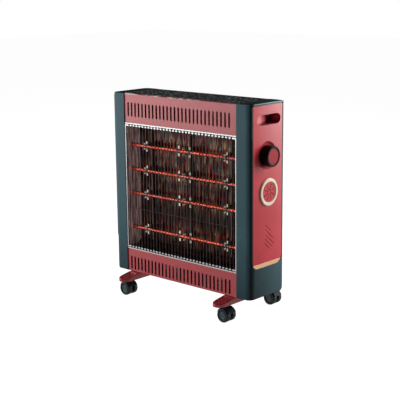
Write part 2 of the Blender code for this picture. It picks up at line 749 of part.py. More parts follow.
def end_cap(name, side):
    cap = bmesh.new()
    outline = [(side * x, y) for x, y in cap_outline(0.0, CAP_X)]
    add_prism(cap, outline, 0.0, BODY_HEIGHT, "Z")
    bmesh.ops.recalc_face_normals(cap, faces=cap.faces)
    for height, width, steps in ((0.0, CAP_FOOT_BEVEL, 2), (BODY_HEIGHT, CAP_TOP_BEVEL, 1)):
        edges = [edge for edge in cap.edges
                 if all(abs(v.co.z - height) < 0.01 for v in edge.verts)
                 and not all(abs(abs(v.co.x) - CAP_X) < 0.01 for v in edge.verts)]
        bmesh.ops.bevel(cap, geom=edges, offset=width, segments=steps, affect="EDGES",
                        profile=0.5, clamp_overlap=True)
    made = make_object(name, cap, SLATE, BODY, smooth=35.0)
    hollow = bmesh.new()
    wall_x = HALF_W - RECESS_DEPTH - CAP_WALL
    shape = rounded_rectangle((CAP_X - 2.0, -HALF_D + CAP_WALL), (wall_x, HALF_D - CAP_WALL),
                              (0, CAP_CORNER - CAP_WALL, CAP_CORNER - CAP_WALL, 0), 4)
    add_prism(hollow, [(side * x, y) for x, y in shape], CAP_WALL, BODY_HEIGHT - CAP_WALL, "Z")
    combine(made, make_object(name + "_hollow", hollow, None, BODY), "DIFFERENCE")
    floor_x = HALF_W - RECESS_DEPTH
    combine(made, side_prism(name + "_recess", recess_outline(0.0), (floor_x, HALF_W + PAST), None, side),
            "DIFFERENCE")
    combine(made, side_prism(name + "_window", recess_outline(RECESS_LEDGE), (wall_x - PAST, floor_x + 1.0),
                             None, side), "DIFFERENCE")
    return made


def grip_solid(name, grow, side):
    """The space of the grip pocket, or with a growth its outer shell: a ramp down to a deep end."""
    mouth = INSERT_FACE + PAST if grow == 0 else INSERT_X + 1.0
    floor_x = INSERT_FACE - GRIP_DEPTH - grow
    centre = BODY_HEIGHT - GRIP_DROP
    solid = bmesh.new()
    add_prism(solid, stadium(GRIP_FRONT - grow, GRIP_REAR + grow, centre, GRIP_HEIGHT / 2 + grow),
              *mirrored((floor_x, mouth), side), "X")
    made = make_object(name, solid, None, BODY)
    under = bmesh.new()
    edge = GRIP_RAMP_END - grow
    lip_x = INSERT_FACE - GRIP_LIP - grow
    start = GRIP_FRONT - grow - PAST
    ramp = [(floor_x - PAST, start), (floor_x - PAST, edge),
            (INSERT_FACE - GRIP_RAMP_DEPTH - grow, edge), (lip_x, GRIP_FRONT), (lip_x, start)]
    add_prism(under, [(side * x, y) for x, y in ramp], centre - GRIP_HEIGHT, centre + GRIP_HEIGHT, "Z")
    combine(made, make_object(name + "_ramp", under, None, BODY), "DIFFERENCE")
    return made


def side_disc(name, radii, x_range, y, z, side, sides):
    """Round cutter or boss along x with its own radius at either end."""
    disc = bmesh.new()
    add_lathe(disc, [(0, side * x_range[0]), (radii[0], side * x_range[0]),
                     (radii[1], side * x_range[1]), (0, side * x_range[1])], sides, "X", (0.0, y, z))
    return make_object(name, disc, None, BODY)


def side_panel(name, side, controls):
    made = side_prism(name, clip_outline(recess_outline(GAP), -INSERT_LOW, (0, -1)),
                      (INSERT_X, INSERT_FACE), CRIMSON, side)
    combine(made, grip_solid(name + "_grip_shell", GRIP_WALL, side), "UNION")
    if controls:
        outer = (DISH_DIAMETER / 2 + 1.0, DISH_DIAMETER / 2 + 2.0)
        back = DISH_FLOOR - INSERT_THICK
        combine(made, side_disc(name + "_dish_shell", outer, (back, INSERT_X + 1.0),
                                KNOB_Y, KNOB_Z, side, 28), "UNION")
        mouth = DISH_DIAMETER / 2 + DISH_SLOPE / DISH_DEPTH
        combine(made, side_disc(name + "_dish", (DISH_DIAMETER / 2 - DISH_SLOPE, mouth),
                                (DISH_FLOOR, INSERT_FACE + 1.0), KNOB_Y, KNOB_Z, side, 28),
                "DIFFERENCE")
        combine(made, side_disc(name + "_shaft_hole", (SHAFT_DIAMETER / 2 + GAP,) * 2,
                                (back - 2.0, DISH_FLOOR + 2.0), KNOB_Y, KNOB_Z, side, 12),
                "DIFFERENCE")
        combine(made, side_disc(name + "_vent_hole", (VENT_CUT_DIAMETER / 2,) * 2,
                                (INSERT_X - 2.0, INSERT_FACE + 2.0), VENT_Y, VENT_Z, side, 24),
                "DIFFERENCE")
    combine(made, grip_solid(name + "_grip", 0.0, side), "DIFFERENCE")
    grooves = bmesh.new()
    for index in range(STRIPE_COUNT):
        y = STRIPE_Y + STRIPE_STEP_Y * index
        z = STRIPE_Z + STRIPE_STEP_Z * index
        share = STRIPE_LEAST + (1 - STRIPE_LEAST) * sin(pi * (index + 0.5) / STRIPE_COUNT)
        run = STRIPE_RUN * share
        drop = STRIPE_DROP * share
        stripe = [(y, z), (y + STRIPE_WIDTH, z), (y + STRIPE_WIDTH + run, z - drop), (y + run, z - drop)]
        add_prism(grooves, stripe, *mirrored((INSERT_FACE - STRIPE_DEPTH, INSERT_FACE + PAST), side), "X")
    combine(made, make_object(name + "_grooves", grooves, None, BODY), "DIFFERENCE")
    return made


for word, side in (("left", -1), ("right", 1)):
    end_cap(word + "_end_cap", side)
    side_panel(word + "_side_panel", side, side > 0)
    side_prism(word + "_trim_strip", clip_outline(recess_outline(GAP), INSERT_LOW - GAP, (0, 1)),
               (INSERT_X, INSERT_FACE), COPPER, side)


# Knob, its face disc, the switch and its shaft; all turn about the knob's axis but the switch
KNOB_FACE = HALF_W + KNOB_PROUD
knob_axis = make_empty("knob_axis", (HALF_W, KNOB_Y, KNOB_Z), BODY)
knob_base = DISH_FLOOR + GAP - HALF_W
cap_seat = KNOB_PROUD - KNOB_CAP_RECESS - KNOB_CAP_THICK
bore_end = knob_base + KNOB_BORE_DEPTH
knob_radius = KNOB_DIAMETER / 2
cap_radius = KNOB_CAP_DIAMETER / 2
shaft_radius = SHAFT_DIAMETER / 2
knob = bmesh.new()
add_lathe(knob, [(0, bore_end), (shaft_radius + GAP, bore_end), (shaft_radius + GAP, knob_base),
                 (knob_radius, knob_base), (knob_radius, KNOB_PROUD - 2 * KNOB_RIM),
                 (knob_radius - 0.3 * KNOB_RIM, KNOB_PROUD - 0.7 * KNOB_RIM),
                 (knob_radius - KNOB_RIM, KNOB_PROUD), (cap_radius + 0.6 * KNOB_RIM, KNOB_PROUD),
                 (cap_radius + GAP, KNOB_PROUD - 0.4 * KNOB_RIM), (cap_radius + GAP, cap_seat - GAP),
                 (0, cap_seat - GAP)],
          32, "X")
make_object("control_knob", knob, BLACK, knob_axis, smooth=35.0)
face = bmesh.new()
face_top = cap_seat + KNOB_CAP_THICK
add_lathe(face, [(0, cap_seat), (cap_radius, cap_seat), (cap_radius, face_top - 0.6),
                 (cap_radius - 0.6, face_top), (0, face_top)], 32, "X")
make_object("knob_cap", face, CRIMSON, knob_axis, smooth=35.0)
switch_front = DISH_FLOOR - INSERT_THICK - GAP
shaft = bmesh.new()
shaft_low = switch_front - SWITCH_SEAT + GAP - HALF_W
add_lathe(shaft, [(0, shaft_low), (shaft_radius, shaft_low), (shaft_radius, bore_end - 0.8),
                  (shaft_radius - 0.5, bore_end - GAP), (0, bore_end - GAP)], 12, "X")
make_object("switch_shaft", shaft, ZINC, knob_axis, smooth=35.0)
switch = bmesh.new()
half_switch = SWITCH_SIZE / 2
add_prism(switch, rounded_rectangle((KNOB_Y - half_switch, KNOB_Z - half_switch),
                                    (KNOB_Y + half_switch, KNOB_Z + half_switch), (4.0,) * 4, 2),
          switch_front - SWITCH_LENGTH, switch_front, "X")
switch_object = make_object("switch_body", switch, TERMINAL, BODY)
combine(switch_object, side_disc("switch_bore", (shaft_radius + GAP,) * 2,
                                 (switch_front - SWITCH_SEAT, switch_front + PAST),
                                 KNOB_Y, KNOB_Z, 1, 12),
        "DIFFERENCE")

# Vent ring and perforated disc
ring_back = INSERT_FACE + GAP
ring = bmesh.new()
inner = VENT_INNER / 2
outer = VENT_OUTER / 2
ring_face = ring_back + VENT_RING_THICK
add_lathe(ring, [(inner, ring_back), (outer, ring_back), (outer, ring_face - 1.9),
                 (outer - 2.2, ring_face), (inner + 1.4, ring_face),
                 (inner, ring_face - 1.1)], 40, "X", (0.0, VENT_Y, VENT_Z))
make_object("vent_ring", ring, IVORY, BODY, smooth=35.0)
disc = bmesh.new()
disc_face = ring_back + VENT_DISC_THICK
add_prism(disc, arc((VENT_Y, VENT_Z), inner - GAP, 0, 345, 23), ring_back, disc_face, "X")
disc_object = make_object("vent_disc", disc, CRIMSON, BODY)
dots = bmesh.new()
for spoke in range(VENT_SPOKES):
    angle = 2 * pi * (spoke + 0.5) / VENT_SPOKES
    for radius in VENT_HOLE_RINGS:
        add_lathe(dots, [(0, ring_back - PAST), (VENT_HOLE / 2, ring_back - PAST),
                         (VENT_HOLE / 2, disc_face + PAST), (0, disc_face + PAST)], 6, "X",
                  (0.0, VENT_Y + radius * cos(angle), VENT_Z + radius * sin(angle)))
combine(disc_object, make_object("vent_dots", dots, None, BODY), "DIFFERENCE")

# Cord gland, terminal block and tip-over switch
gland = bmesh.new()
gland_in = PANEL_Y - SHEET - 1.2
gland_out = PANEL_Y + GAP
stem = GLAND_DIAMETER / 2
flange = GLAND_FLANGE / 2
bore = GLAND_BORE / 2
add_lathe(gland, [(0, gland_in), (stem, gland_in), (stem, gland_out), (flange, gland_out),
                  (flange, gland_out + 2.0), (flange - 2.0, gland_out + 4.0), (bore, gland_out + 4.0),
                  (bore, gland_out + 0.5), (0, gland_out + 0.5)], 16, "Y", (GLAND_X, 0.0, GLAND_Z))
make_object("cord_gland", gland, BLACK, BODY, smooth=35.0)


def standing_box(x, y, width, depth, height):
    """Box that stands on the base plate."""
    low = base_top + GAP
    made = bmesh.new()
    add_box(made, (x - width / 2, x + width / 2), (y - depth / 2, y + depth / 2), (low, low + height))
    return made


block = standing_box(BLOCK_X, BLOCK_Y, BLOCK_WIDTH, BLOCK_DEPTH, BLOCK_HEIGHT)
block_object = make_object("terminal_block", block, TERMINAL, BODY)
screws = bmesh.new()
block_top = base_top + GAP + BLOCK_HEIGHT
for offset in centred_places(BLOCK_SCREW_PITCH, BLOCK_SCREWS):
    add_lathe(screws, [(0, block_top - 8.0), (2.2, block_top - 8.0), (2.2, block_top + PAST),
                       (0, block_top + PAST)], 8, "Z", (BLOCK_X + offset, BLOCK_Y, 0.0))
combine(block_object, make_object("terminal_screws", screws, None, BODY), "DIFFERENCE")
tip = standing_box(TIP_SWITCH_X, TIP_SWITCH_Y, TIP_SWITCH_WIDTH, TIP_SWITCH_DEPTH, TIP_SWITCH_HEIGHT)
bmesh.ops.bevel(tip, geom=list(tip.edges), offset=1.5, segments=1, affect="EDGES")
make_object("tip_over_switch", tip, TERMINAL, BODY)


# Foot bars: pressed shells, flat under the body and sloping down to round tips
def foot_height(y):
    """Height of the bar's top at a place along it."""
    beyond = max(0.0, abs(y) - HALF_D - 1.0)
    overhang = FOOT_LENGTH / 2 + (FOOT_Y if y > 0 else -FOOT_Y) - HALF_D - 1.0
    return -GAP - FOOT_TIP_DROP * beyond / overhang


def foot_outline(x, inset):
    """Plan of the bar; the flat middle ends just outside the body."""
    low = FOOT_Y - FOOT_LENGTH / 2 + inset
    high = FOOT_Y + FOOT_LENGTH / 2 - inset
    radius = FOOT_WIDTH / 2 - inset
    knee = HALF_D + 1.0
    rear_tip = arc((x, high - radius), radius, 0, 180, TIP_STEPS)
    front_tip = arc((x, low + radius), radius, 180, 360, TIP_STEPS)
    return ([(x + radius, -knee), (x + radius, knee)] + rear_tip
            + [(x - radius, knee), (x - radius, -knee)] + front_tip)


CASTER_PLACES = (FOOT_Y - CASTER_SPREAD, FOOT_Y + CASTER_SPREAD)
WELL_TOP = min(foot_height(y) for y in CASTER_PLACES) - FOOT_WALL - 1.5


def foot_bar(name, side):
    x = side * FOOT_X
    tip_count = TIP_STEPS + 1
    bar = bmesh.new()

    def ring(inset, height):
        return [bar.verts.new((px, py, height(py))) for px, py in foot_outline(x, inset)]

    outer_low = ring(0.0, lambda y: -FOOT_HEIGHT)
    outer_mid = ring(0.0, lambda y: foot_height(y) - FOOT_EDGE)
    outer_top = ring(FOOT_EDGE, foot_height)
    inner_top = ring(FOOT_WALL, lambda y: foot_height(y) - FOOT_WALL)
    inner_low = ring(FOOT_WALL, lambda y: -FOOT_HEIGHT)
    count = len(outer_low)
    for first, second in ((outer_low, outer_mid), (outer_mid, outer_top), (inner_top, inner_low),
                          (inner_low, outer_low)):
        for index in range(count):
            after = (index + 1) % count
            bar.faces.new((first[index], first[after], second[after], second[index]))
    tips = []
    for level in (outer_top, inner_top):
        rear_part = level[1:3 + tip_count]
        front_part = level[3 + tip_count:] + level[:1]
        bar.faces.new((level[0], level[1], level[2 + tip_count], level[3 + tip_count]))
        rear_face = bar.faces.new(rear_part)
        front_face = bar.faces.new(front_part)
        if level is outer_top:
            tips += [rear_face, front_face]
    bmesh.ops.recalc_face_normals(bar, faces=bar.faces)
    bmesh.ops.inset_individual(bar, faces=tips, thickness=PRESSING_MARGIN)
    bmesh.ops.inset_individual(bar, faces=tips, thickness=1.2, depth=-PRESSING_DEPTH)
    made = make_object(name, bar, MAROON, BODY, smooth=30.0)
    bosses = bmesh.new()
    wells = bmesh.new()
    for y in CASTER_PLACES:
        top = foot_height(y) - FOOT_WALL + 0.1
        add_lathe(bosses, [(0, -FOOT_HEIGHT), (BOSS_DIAMETER / 2, -FOOT_HEIGHT),
                           (BOSS_DIAMETER / 2, top), (0, top)], 12, "Z", (x, y, 0.0))
        add_lathe(wells, [(0, -FOOT_HEIGHT - 2.0), (STEM_DIAMETER / 2 + GAP, -FOOT_HEIGHT - 2.0),
                          (STEM_DIAMETER / 2 + GAP, WELL_TOP), (0, WELL_TOP)], 12, "Z", (x, y, 0.0))
    combine(made, make_object(name + "_bosses", bosses, None, BODY), "UNION")
    combine(made, make_object(name + "_wells", wells, None, BODY), "DIFFERENCE")
    return made


for word, side in (("left", -1), ("right", 1)):
    foot_bar(word + "_foot_bar", side)


# Casters: hood with a moulded stem, an axle and two wheels; heights here count from the floor
def caster(word, x, y, side):
    radius = WHEEL_DIAMETER / 2
    swivel = make_empty("caster_%s_swivel" % word, (x, y, -FLOOR_GAP), BODY)
    roll = make_empty("caster_%s_roll" % word, (side * CASTER_TRAIL, 0.0, radius), swivel)
    trail = side * CASTER_TRAIL

    def hub_outline(points):
        return [(trail + side * px, radius + pz) for px, pz in points]

    shell_in = radius + HOOD_CLEARANCE
    shell_out = shell_in + HOOD_WALL
    fender = bmesh.new()
    band = arc((0, 0), shell_out, 20, 160, 8) + arc((0, 0), shell_in, 160, 20, 8)
    half_hood = WHEEL_PAIR_WIDTH / 2 - HOOD_SETBACK
    add_prism(fender, hub_outline(band), -half_hood, half_hood, "Y")
    hood = make_object("caster_%s_hood" % word, fender, CHARCOAL, swivel, smooth=40.0)
    fin = bmesh.new()
    web = arc((0, 0), shell_in + 0.6, 28, 152, 6) + arc((0, 0), 6.5, 200, 340, 5)
    add_prism(fin, hub_outline(web), -FIN_THICK / 2, FIN_THICK / 2, "Y")
    combine(hood, make_object("caster_%s_fin" % word, fin, None, swivel), "UNION")
    stem_top = FLOOR_GAP + WELL_TOP - GAP
    neck = bmesh.new()
    neck_top = CASTER_HEIGHT - GAP
    add_lathe(neck, [(0, radius + 12.0), (NECK_DIAMETER / 2, radius + 12.0), (NECK_DIAMETER / 2, neck_top),
                     (STEM_DIAMETER / 2, neck_top), (STEM_DIAMETER / 2, stem_top - 0.8),
                     (STEM_DIAMETER / 2 - 0.8, stem_top), (0, stem_top)], 12, "Z")
    neck_object = make_object("caster_%s_neck" % word, neck, None, swivel)
    space = bmesh.new()
    add_prism(space, hub_outline(arc((0, 0), shell_in + 1.0, 0, 345, 23)),
              -WHEEL_PAIR_WIDTH, WHEEL_PAIR_WIDTH, "Y")
    combine(neck_object, make_object("caster_%s_space" % word, space, None, swivel), "DIFFERENCE")
    combine(hood, neck_object, "UNION")
    hole = bmesh.new()
    add_prism(hole, hub_outline(arc((0, 0), AXLE_DIAMETER / 2 + GAP, 0, 330, 11)),
              -FIN_THICK, FIN_THICK, "Y")
    combine(hood, make_object("caster_%s_hole" % word, hole, None, swivel), "DIFFERENCE")

    half_pair = WHEEL_PAIR_WIDTH / 2
    inner_face = FIN_THICK / 2 + GAP
    axle_end = half_pair - 4.8
    axle = bmesh.new()
    add_lathe(axle, [(0, -axle_end), (AXLE_DIAMETER / 2, -axle_end), (AXLE_DIAMETER / 2, axle_end),
                     (0, axle_end)], 12, "Y")
    make_object("caster_%s_axle" % word, axle, ZINC, roll, smooth=40.0)
    tread = radius / cos(pi / WHEEL_SIDES)
    bore = AXLE_DIAMETER / 2 + GAP
    profile = [(0, axle_end + GAP), (bore, axle_end + GAP), (bore, inner_face), (tread, inner_face),
               (tread, half_pair - 2.2), (tread - 2.2, half_pair), (tread - 6.4, half_pair),
               (tread - 7.9, half_pair - 1.5), (0, half_pair - 1.5)]
    for place, way in (("front", -1), ("rear", 1)):
        wheel = bmesh.new()
        add_lathe(wheel, [(r, way * h) for r, h in profile], WHEEL_SIDES, "Y")
        make_object("caster_%s_wheel_%s" % (word, place), wheel, CHARCOAL, roll, smooth=30.0)


for depth_word, y in zip("fb", CASTER_PLACES):
    for side_word, side in (("l", -1), ("r", 1)):
        caster(depth_word + side_word, side * FOOT_X, y, side)
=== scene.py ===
# %% [markdown]
# # A quartz heater on casters, dressed for its picture
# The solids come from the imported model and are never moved. This lesson gives them their paint,
# moulded grain, chrome and glow, adds the small pieces that solids don't hold, and then sets up
# the studio: floor, surround and lamps.

# %% Load the frame
from math import cos, pi, radians, sin

import bmesh
import bpy
from mathutils import Matrix, Vector


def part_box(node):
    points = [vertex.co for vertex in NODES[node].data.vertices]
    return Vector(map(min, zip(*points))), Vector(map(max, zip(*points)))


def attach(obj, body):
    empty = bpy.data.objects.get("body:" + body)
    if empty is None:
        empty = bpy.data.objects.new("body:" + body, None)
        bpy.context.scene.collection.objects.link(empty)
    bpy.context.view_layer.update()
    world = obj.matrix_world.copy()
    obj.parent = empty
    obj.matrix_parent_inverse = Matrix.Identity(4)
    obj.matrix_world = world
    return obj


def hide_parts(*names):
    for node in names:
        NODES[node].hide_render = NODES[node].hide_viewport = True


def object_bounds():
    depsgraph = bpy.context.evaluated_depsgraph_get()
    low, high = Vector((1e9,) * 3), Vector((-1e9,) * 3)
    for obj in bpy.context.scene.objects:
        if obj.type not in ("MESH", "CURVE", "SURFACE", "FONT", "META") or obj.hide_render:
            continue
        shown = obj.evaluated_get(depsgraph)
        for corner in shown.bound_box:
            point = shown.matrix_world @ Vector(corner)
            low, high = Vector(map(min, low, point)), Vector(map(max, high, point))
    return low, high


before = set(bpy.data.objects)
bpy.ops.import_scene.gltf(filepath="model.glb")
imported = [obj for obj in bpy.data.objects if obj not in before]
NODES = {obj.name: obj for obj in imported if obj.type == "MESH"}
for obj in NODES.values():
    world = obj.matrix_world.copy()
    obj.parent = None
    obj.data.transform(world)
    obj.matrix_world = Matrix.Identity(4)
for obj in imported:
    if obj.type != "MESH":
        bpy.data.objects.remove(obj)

CAD_BOX = [list(map(float, corner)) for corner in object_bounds()]
print("box of the solids, m:", CAD_BOX)

# %% [markdown]
# Every place below is counted in millimetres from the middle of the casing, with height from
# its lower edge, as a maker's drawing would do. The casing's place in the frame is read from
# its two end caps, so nothing here has to be fitted by eye.

# %% The casing's own corner of the frame
MM = 0.001
LEFT_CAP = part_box("left_end_cap")
RIGHT_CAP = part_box("right_end_cap")
CASING = Vector(((LEFT_CAP[0][0] + RIGHT_CAP[1][0]) / 2, (LEFT_CAP[0][1] + LEFT_CAP[1][1]) / 2,
                 LEFT_CAP[0][2]))


def at(x, y, z):
    return CASING + Vector((x, y, z)) * MM


print("casing's origin, m:", tuple(round(v, 4) for v in CASING))

# %% [markdown]
# ## Camera
# The photograph shows the front and the right end from a little above. Vertical edges
# run almost parallel, so the lens is long. The place, turn and lens below were solved from the
# casing's corners, so that edges of the model fall on the edges in the picture.

# %% Camera
LENS_PIXELS = 1007.0
FRAME_PIXELS = 400.0
YAW, PITCH, ROLL = radians(42.13), radians(12.33), radians(0.54)
CAMERA_PLACE = (1929.3, -2113.9, 861.8)

forward = Vector((-sin(YAW) * cos(PITCH), cos(YAW) * cos(PITCH), -sin(PITCH)))
level_right = Vector((cos(YAW), sin(YAW), 0.0))
level_down = forward.cross(level_right)
right = cos(ROLL) * level_right + sin(ROLL) * level_down
down = -sin(ROLL) * level_right + cos(ROLL) * level_down
camera_data = bpy.data.cameras.new("camera")
camera_data.sensor_width = 36.0
camera_data.lens = LENS_PIXELS / FRAME_PIXELS * camera_data.sensor_width
camera_data.clip_end = 50.0
camera = bpy.data.objects.new("camera", camera_data)
bpy.context.collection.objects.link(camera)
axes = Matrix((right, -down, -forward)).transposed().to_4x4()
camera.matrix_world = Matrix.Translation(at(*CAMERA_PLACE)) @ axes
bpy.context.scene.camera = camera
print("lens, mm:", round(camera_data.lens, 1))

# %% [markdown]
# ## Node helpers
# A material is a small network. `Net` places a node, fills its inputs with numbers or with the
# outputs of other nodes, and hands back the node, so that a material reads as a list of steps.

# %% Helper for node networks
class Net:
    def __init__(self, tree):
        self.tree = tree

    def fill(self, socket, value):
        if isinstance(value, bpy.types.NodeSocket):
            self.tree.links.new(value, socket)
        else:
            socket.default_value = value

    def node(self, kind, inputs=None, **settings):
        made = self.tree.nodes.new("ShaderNode" + kind)
        for key, value in settings.items():
            setattr(made, key, value)
        for key, value in (inputs or {}).items():
            self.fill(made.inputs[key], value)
        return made

    def mix(self, share, first, second):
        """One colour turning into another. The colour sockets of the node are 6 and 7."""
        return self.node("Mix", {0: share, 6: first, 7: second}, data_type="RGBA").outputs[2]

    def math(self, operation, first, second=0.0):
        return self.node("Math", {0: first, 1: second}, operation=operation).outputs[0]

    def span(self, value, low, high, new_low=0.0, new_high=1.0):
        made = self.node("MapRange", {"Value": value, "From Min": low, "From Max": high,
                                      "To Min": new_low, "To Max": new_high})
        return made.outputs["Result"]


# %% [markdown]
# Colours are written as they look on a screen, from 0 to 255, but a shader reckons with light,
# so each is turned into linear numbers first. The formula is that of the sRGB screen standard.

# %% Colours as the screen shows them
def colour(red, green, blue):
    """A screen colour of 0 to 255 as the linear colour that a shader takes."""
    linear = []
    for value in (red, green, blue):
        share = value / 255
        linear.append(share / 12.92 if share <= 0.04045 else ((share + 0.055) / 1.055) ** 2.4)
    return (*linear, 1.0)


BLACK = (0.0, 0.0, 0.0, 1.0)
WHITE = (1.0, 1.0, 1.0, 1.0)
print("a middle grey, as light:", round(colour(128, 128, 128)[0], 3))

# %% [markdown]
# ## Effects shared by several finishes
# Real surfaces are never even. Four effects are used again and again, so each is a group:
# - **grain**: the fine skin of moulded plastic or of powder paint, with slow cloudy changes;
# - **soft edge**: a sharp modelled edge made to catch light like a real, slightly round one,
#   with a mask of the edges, where a finish lays a paler tone: partly wear from handling,
#   partly painted highlight;
# - **dust**: a pale film that settles on what faces upward;
# - **streaks**: long drawn marks, as on rolled or brushed sheet.

# %% Helpers for groups
def new_group(name, inputs, outputs):
    """An empty shader group: inputs are (name, default) numbers, outputs (name, socket type)."""
    group = bpy.data.node_groups.new(name, "ShaderNodeTree")
    for title, default in inputs:
        socket = group.interface.new_socket(title, in_out="INPUT", socket_type="NodeSocketFloat")
        socket.default_value = default
    for title, kind in outputs:
        group.interface.new_socket(title, in_out="OUTPUT", socket_type=kind)
    net = Net(group)
    return net, group.nodes.new("NodeGroupInput"), group.nodes.new("NodeGroupOutput")


def close_group(net, result, values):
    """Lead the values to the group's outputs, and say what it puts out."""
    for title, value in values.items():
        net.tree.links.new(value, result.inputs[title])
    print("group", net.tree.name, "puts out", ", ".join(values))
    return net.tree


# %% Group: grain
PER_METRE = 1000.0
net, given, result = new_group(
    "grain", [("Size", 0.8), ("Cloud Size", 60.0)],
    [("Height", "NodeSocketFloat"), ("Cloud", "NodeSocketFloat")])
coords = net.node("TexCoord").outputs["Object"]
fine_scale = net.math("DIVIDE", PER_METRE, given.outputs["Size"])
cloud_scale = net.math("DIVIDE", PER_METRE, given.outputs["Cloud Size"])
fine = net.node("TexNoise", {"Vector": coords, "Scale": fine_scale, "Detail": 2.0})
cloud = net.node("TexNoise", {"Vector": coords, "Scale": cloud_scale, "Detail": 4.0,
                              "Roughness": 0.6})
GRAIN = close_group(net, result, {"Height": fine.outputs["Fac"],
                                  "Cloud": net.span(cloud.outputs["Fac"], 0.3, 0.7)})

# %% Group: soft edge
# The edge mask carries a paler tone: partly wear, partly painted highlight.
FACE_AGREEMENT, EDGE_AGREEMENT = 0.995, 0.86
net, given, result = new_group(
    "soft_edge", [("Radius", 0.8)],
    [("Normal", "NodeSocketVector"), ("Edge Mark", "NodeSocketFloat")])
radius = net.math("MULTIPLY", given.outputs["Radius"], MM)
bevel = net.node("Bevel", {"Radius": radius}, samples=4)
facing = net.node("NewGeometry").outputs["Normal"]
agree = net.node("VectorMath", {0: bevel.outputs["Normal"], 1: facing}, operation="DOT_PRODUCT")
edge_mark = net.span(agree.outputs["Value"], FACE_AGREEMENT, EDGE_AGREEMENT)
SOFT_EDGE = close_group(net, result, {"Normal": bevel.outputs["Normal"], "Edge Mark": edge_mark})

# %% Group: dust
net, given, result = new_group(
    "dust", [("Amount", 0.3)], [("Film", "NodeSocketFloat")])
upward = net.node("SeparateXYZ", {0: net.node("NewGeometry").outputs["Normal"]}).outputs["Z"]
specks = net.node("TexNoise", {"Vector": net.node("TexCoord").outputs["Object"],
                               "Scale": 90.0, "Detail": 6.0, "Roughness": 0.7})
specks = net.span(specks.outputs["Fac"], 0.35, 0.75)
film = net.math("MULTIPLY", net.span(upward, 0.3, 1.0), specks)
film = net.math("MULTIPLY", film, given.outputs["Amount"])
DUST = close_group(net, result, {"Film": film})

# %% Group: streaks
net, given, result = new_group(
    "streaks", [("Width", 2.0), ("Length", 300.0)], [("Streak", "NodeSocketFloat")])
place = net.node("SeparateXYZ", {0: net.node("TexCoord").outputs["Object"]}).outputs
stretched = {}
for axis, size in (("X", "Width"), ("Y", "Width"), ("Z", "Length")):
    in_millimetres = net.math("MULTIPLY", place[axis], PER_METRE)
    stretched[axis] = net.math("DIVIDE", in_millimetres, given.outputs[size])
drawn = net.node("CombineXYZ", stretched).outputs[0]
lines = net.node("TexNoise", {"Vector": drawn, "Scale": 1.0, "Detail": 3.0})
STREAKS = close_group(net, result, {"Streak": net.span(lines.outputs["Fac"], 0.3, 0.7)})

# %% [markdown]
# ## Finishes
# `start_finish` opens a material and gives back its network with the Principled shader. Each
# finish then says what varies: colour by cloud and by the edge mask, whose paler tone is partly
# wear and partly painted highlight, roughness by cloud, surface by bump.

# %% Helpers for finishes
def start_finish(name):
    material = bpy.data.materials.new(name)
    material.use_nodes = True
    net = Net(material.node_tree)
    shader = material.node_tree.nodes["Principled BSDF"]
    return material, net, shader


def place_group(net, group, values):
    made = net.node("Group", node_tree=group)
    for key, value in values.items():
        made.inputs[key].default_value = value
    return made.outputs


def show_finishes(*finishes):
    print("finishes:", ", ".join(finish.name for finish in finishes))


# %% [markdown]
# Paint and moulded plastic are built alike: two tones in slow clouds, a paler tone along the
# edges that is partly wear from handling and partly painted highlight, a film of dust, and the
# grain as a bump. Some places differ from the rest of a piece, such as a fold or a seam, and most
# marks below paint light or shade there. A **mark** colours such a place: it has one or more
# spans, each (axis, from, to), that grow from 0 to 1 between two places, and it shows where all
# its spans do. Besides X, Y and Z there is OUT, the distance from the casing's middle plane, so
# that one mark serves both ends, and CLOUD, which breaks a mark up.

# %% Helpers for marks and bulging faces
def places_on_casing(net, cloud):
    parted = net.node("SeparateXYZ", {0: net.node("TexCoord").outputs["Object"]}).outputs
    place = {axis: parted[axis] for axis in "XYZ"}
    place["OUT"] = net.math("ABSOLUTE", net.math("SUBTRACT", place["X"], CASING.x))
    place["CLOUD"] = cloud
    return place


def shown(net, place, spans, share):
    """The share of a mark that shows: all of it where every span has grown to 1."""
    for axis, start, end in spans:
        share = net.math("MULTIPLY", net.span(place[axis], start, end), share)
    return share


def crowned(net, place, radius, normal):
    """The normal of a face that bulges a little across its width, with a radius in metres."""
    offset = net.math("SUBTRACT", place["Y"], CASING.y)
    bulge = net.math("MULTIPLY", net.math("MULTIPLY", offset, offset), -0.5 / radius)
    return net.node("Bump", {"Height": bulge, "Strength": 1.0, "Distance": 1.0,
                             "Normal": normal}).outputs["Normal"]


# %% Paint and moulded plastic
DUST_TONE = colour(190, 186, 178)
EDGE_WEAR_AND_HIGHLIGHT_SHARE = 0.6
GRAIN_DEPTH = 0.3 * MM
COAT_ROUGHNESS = 0.12


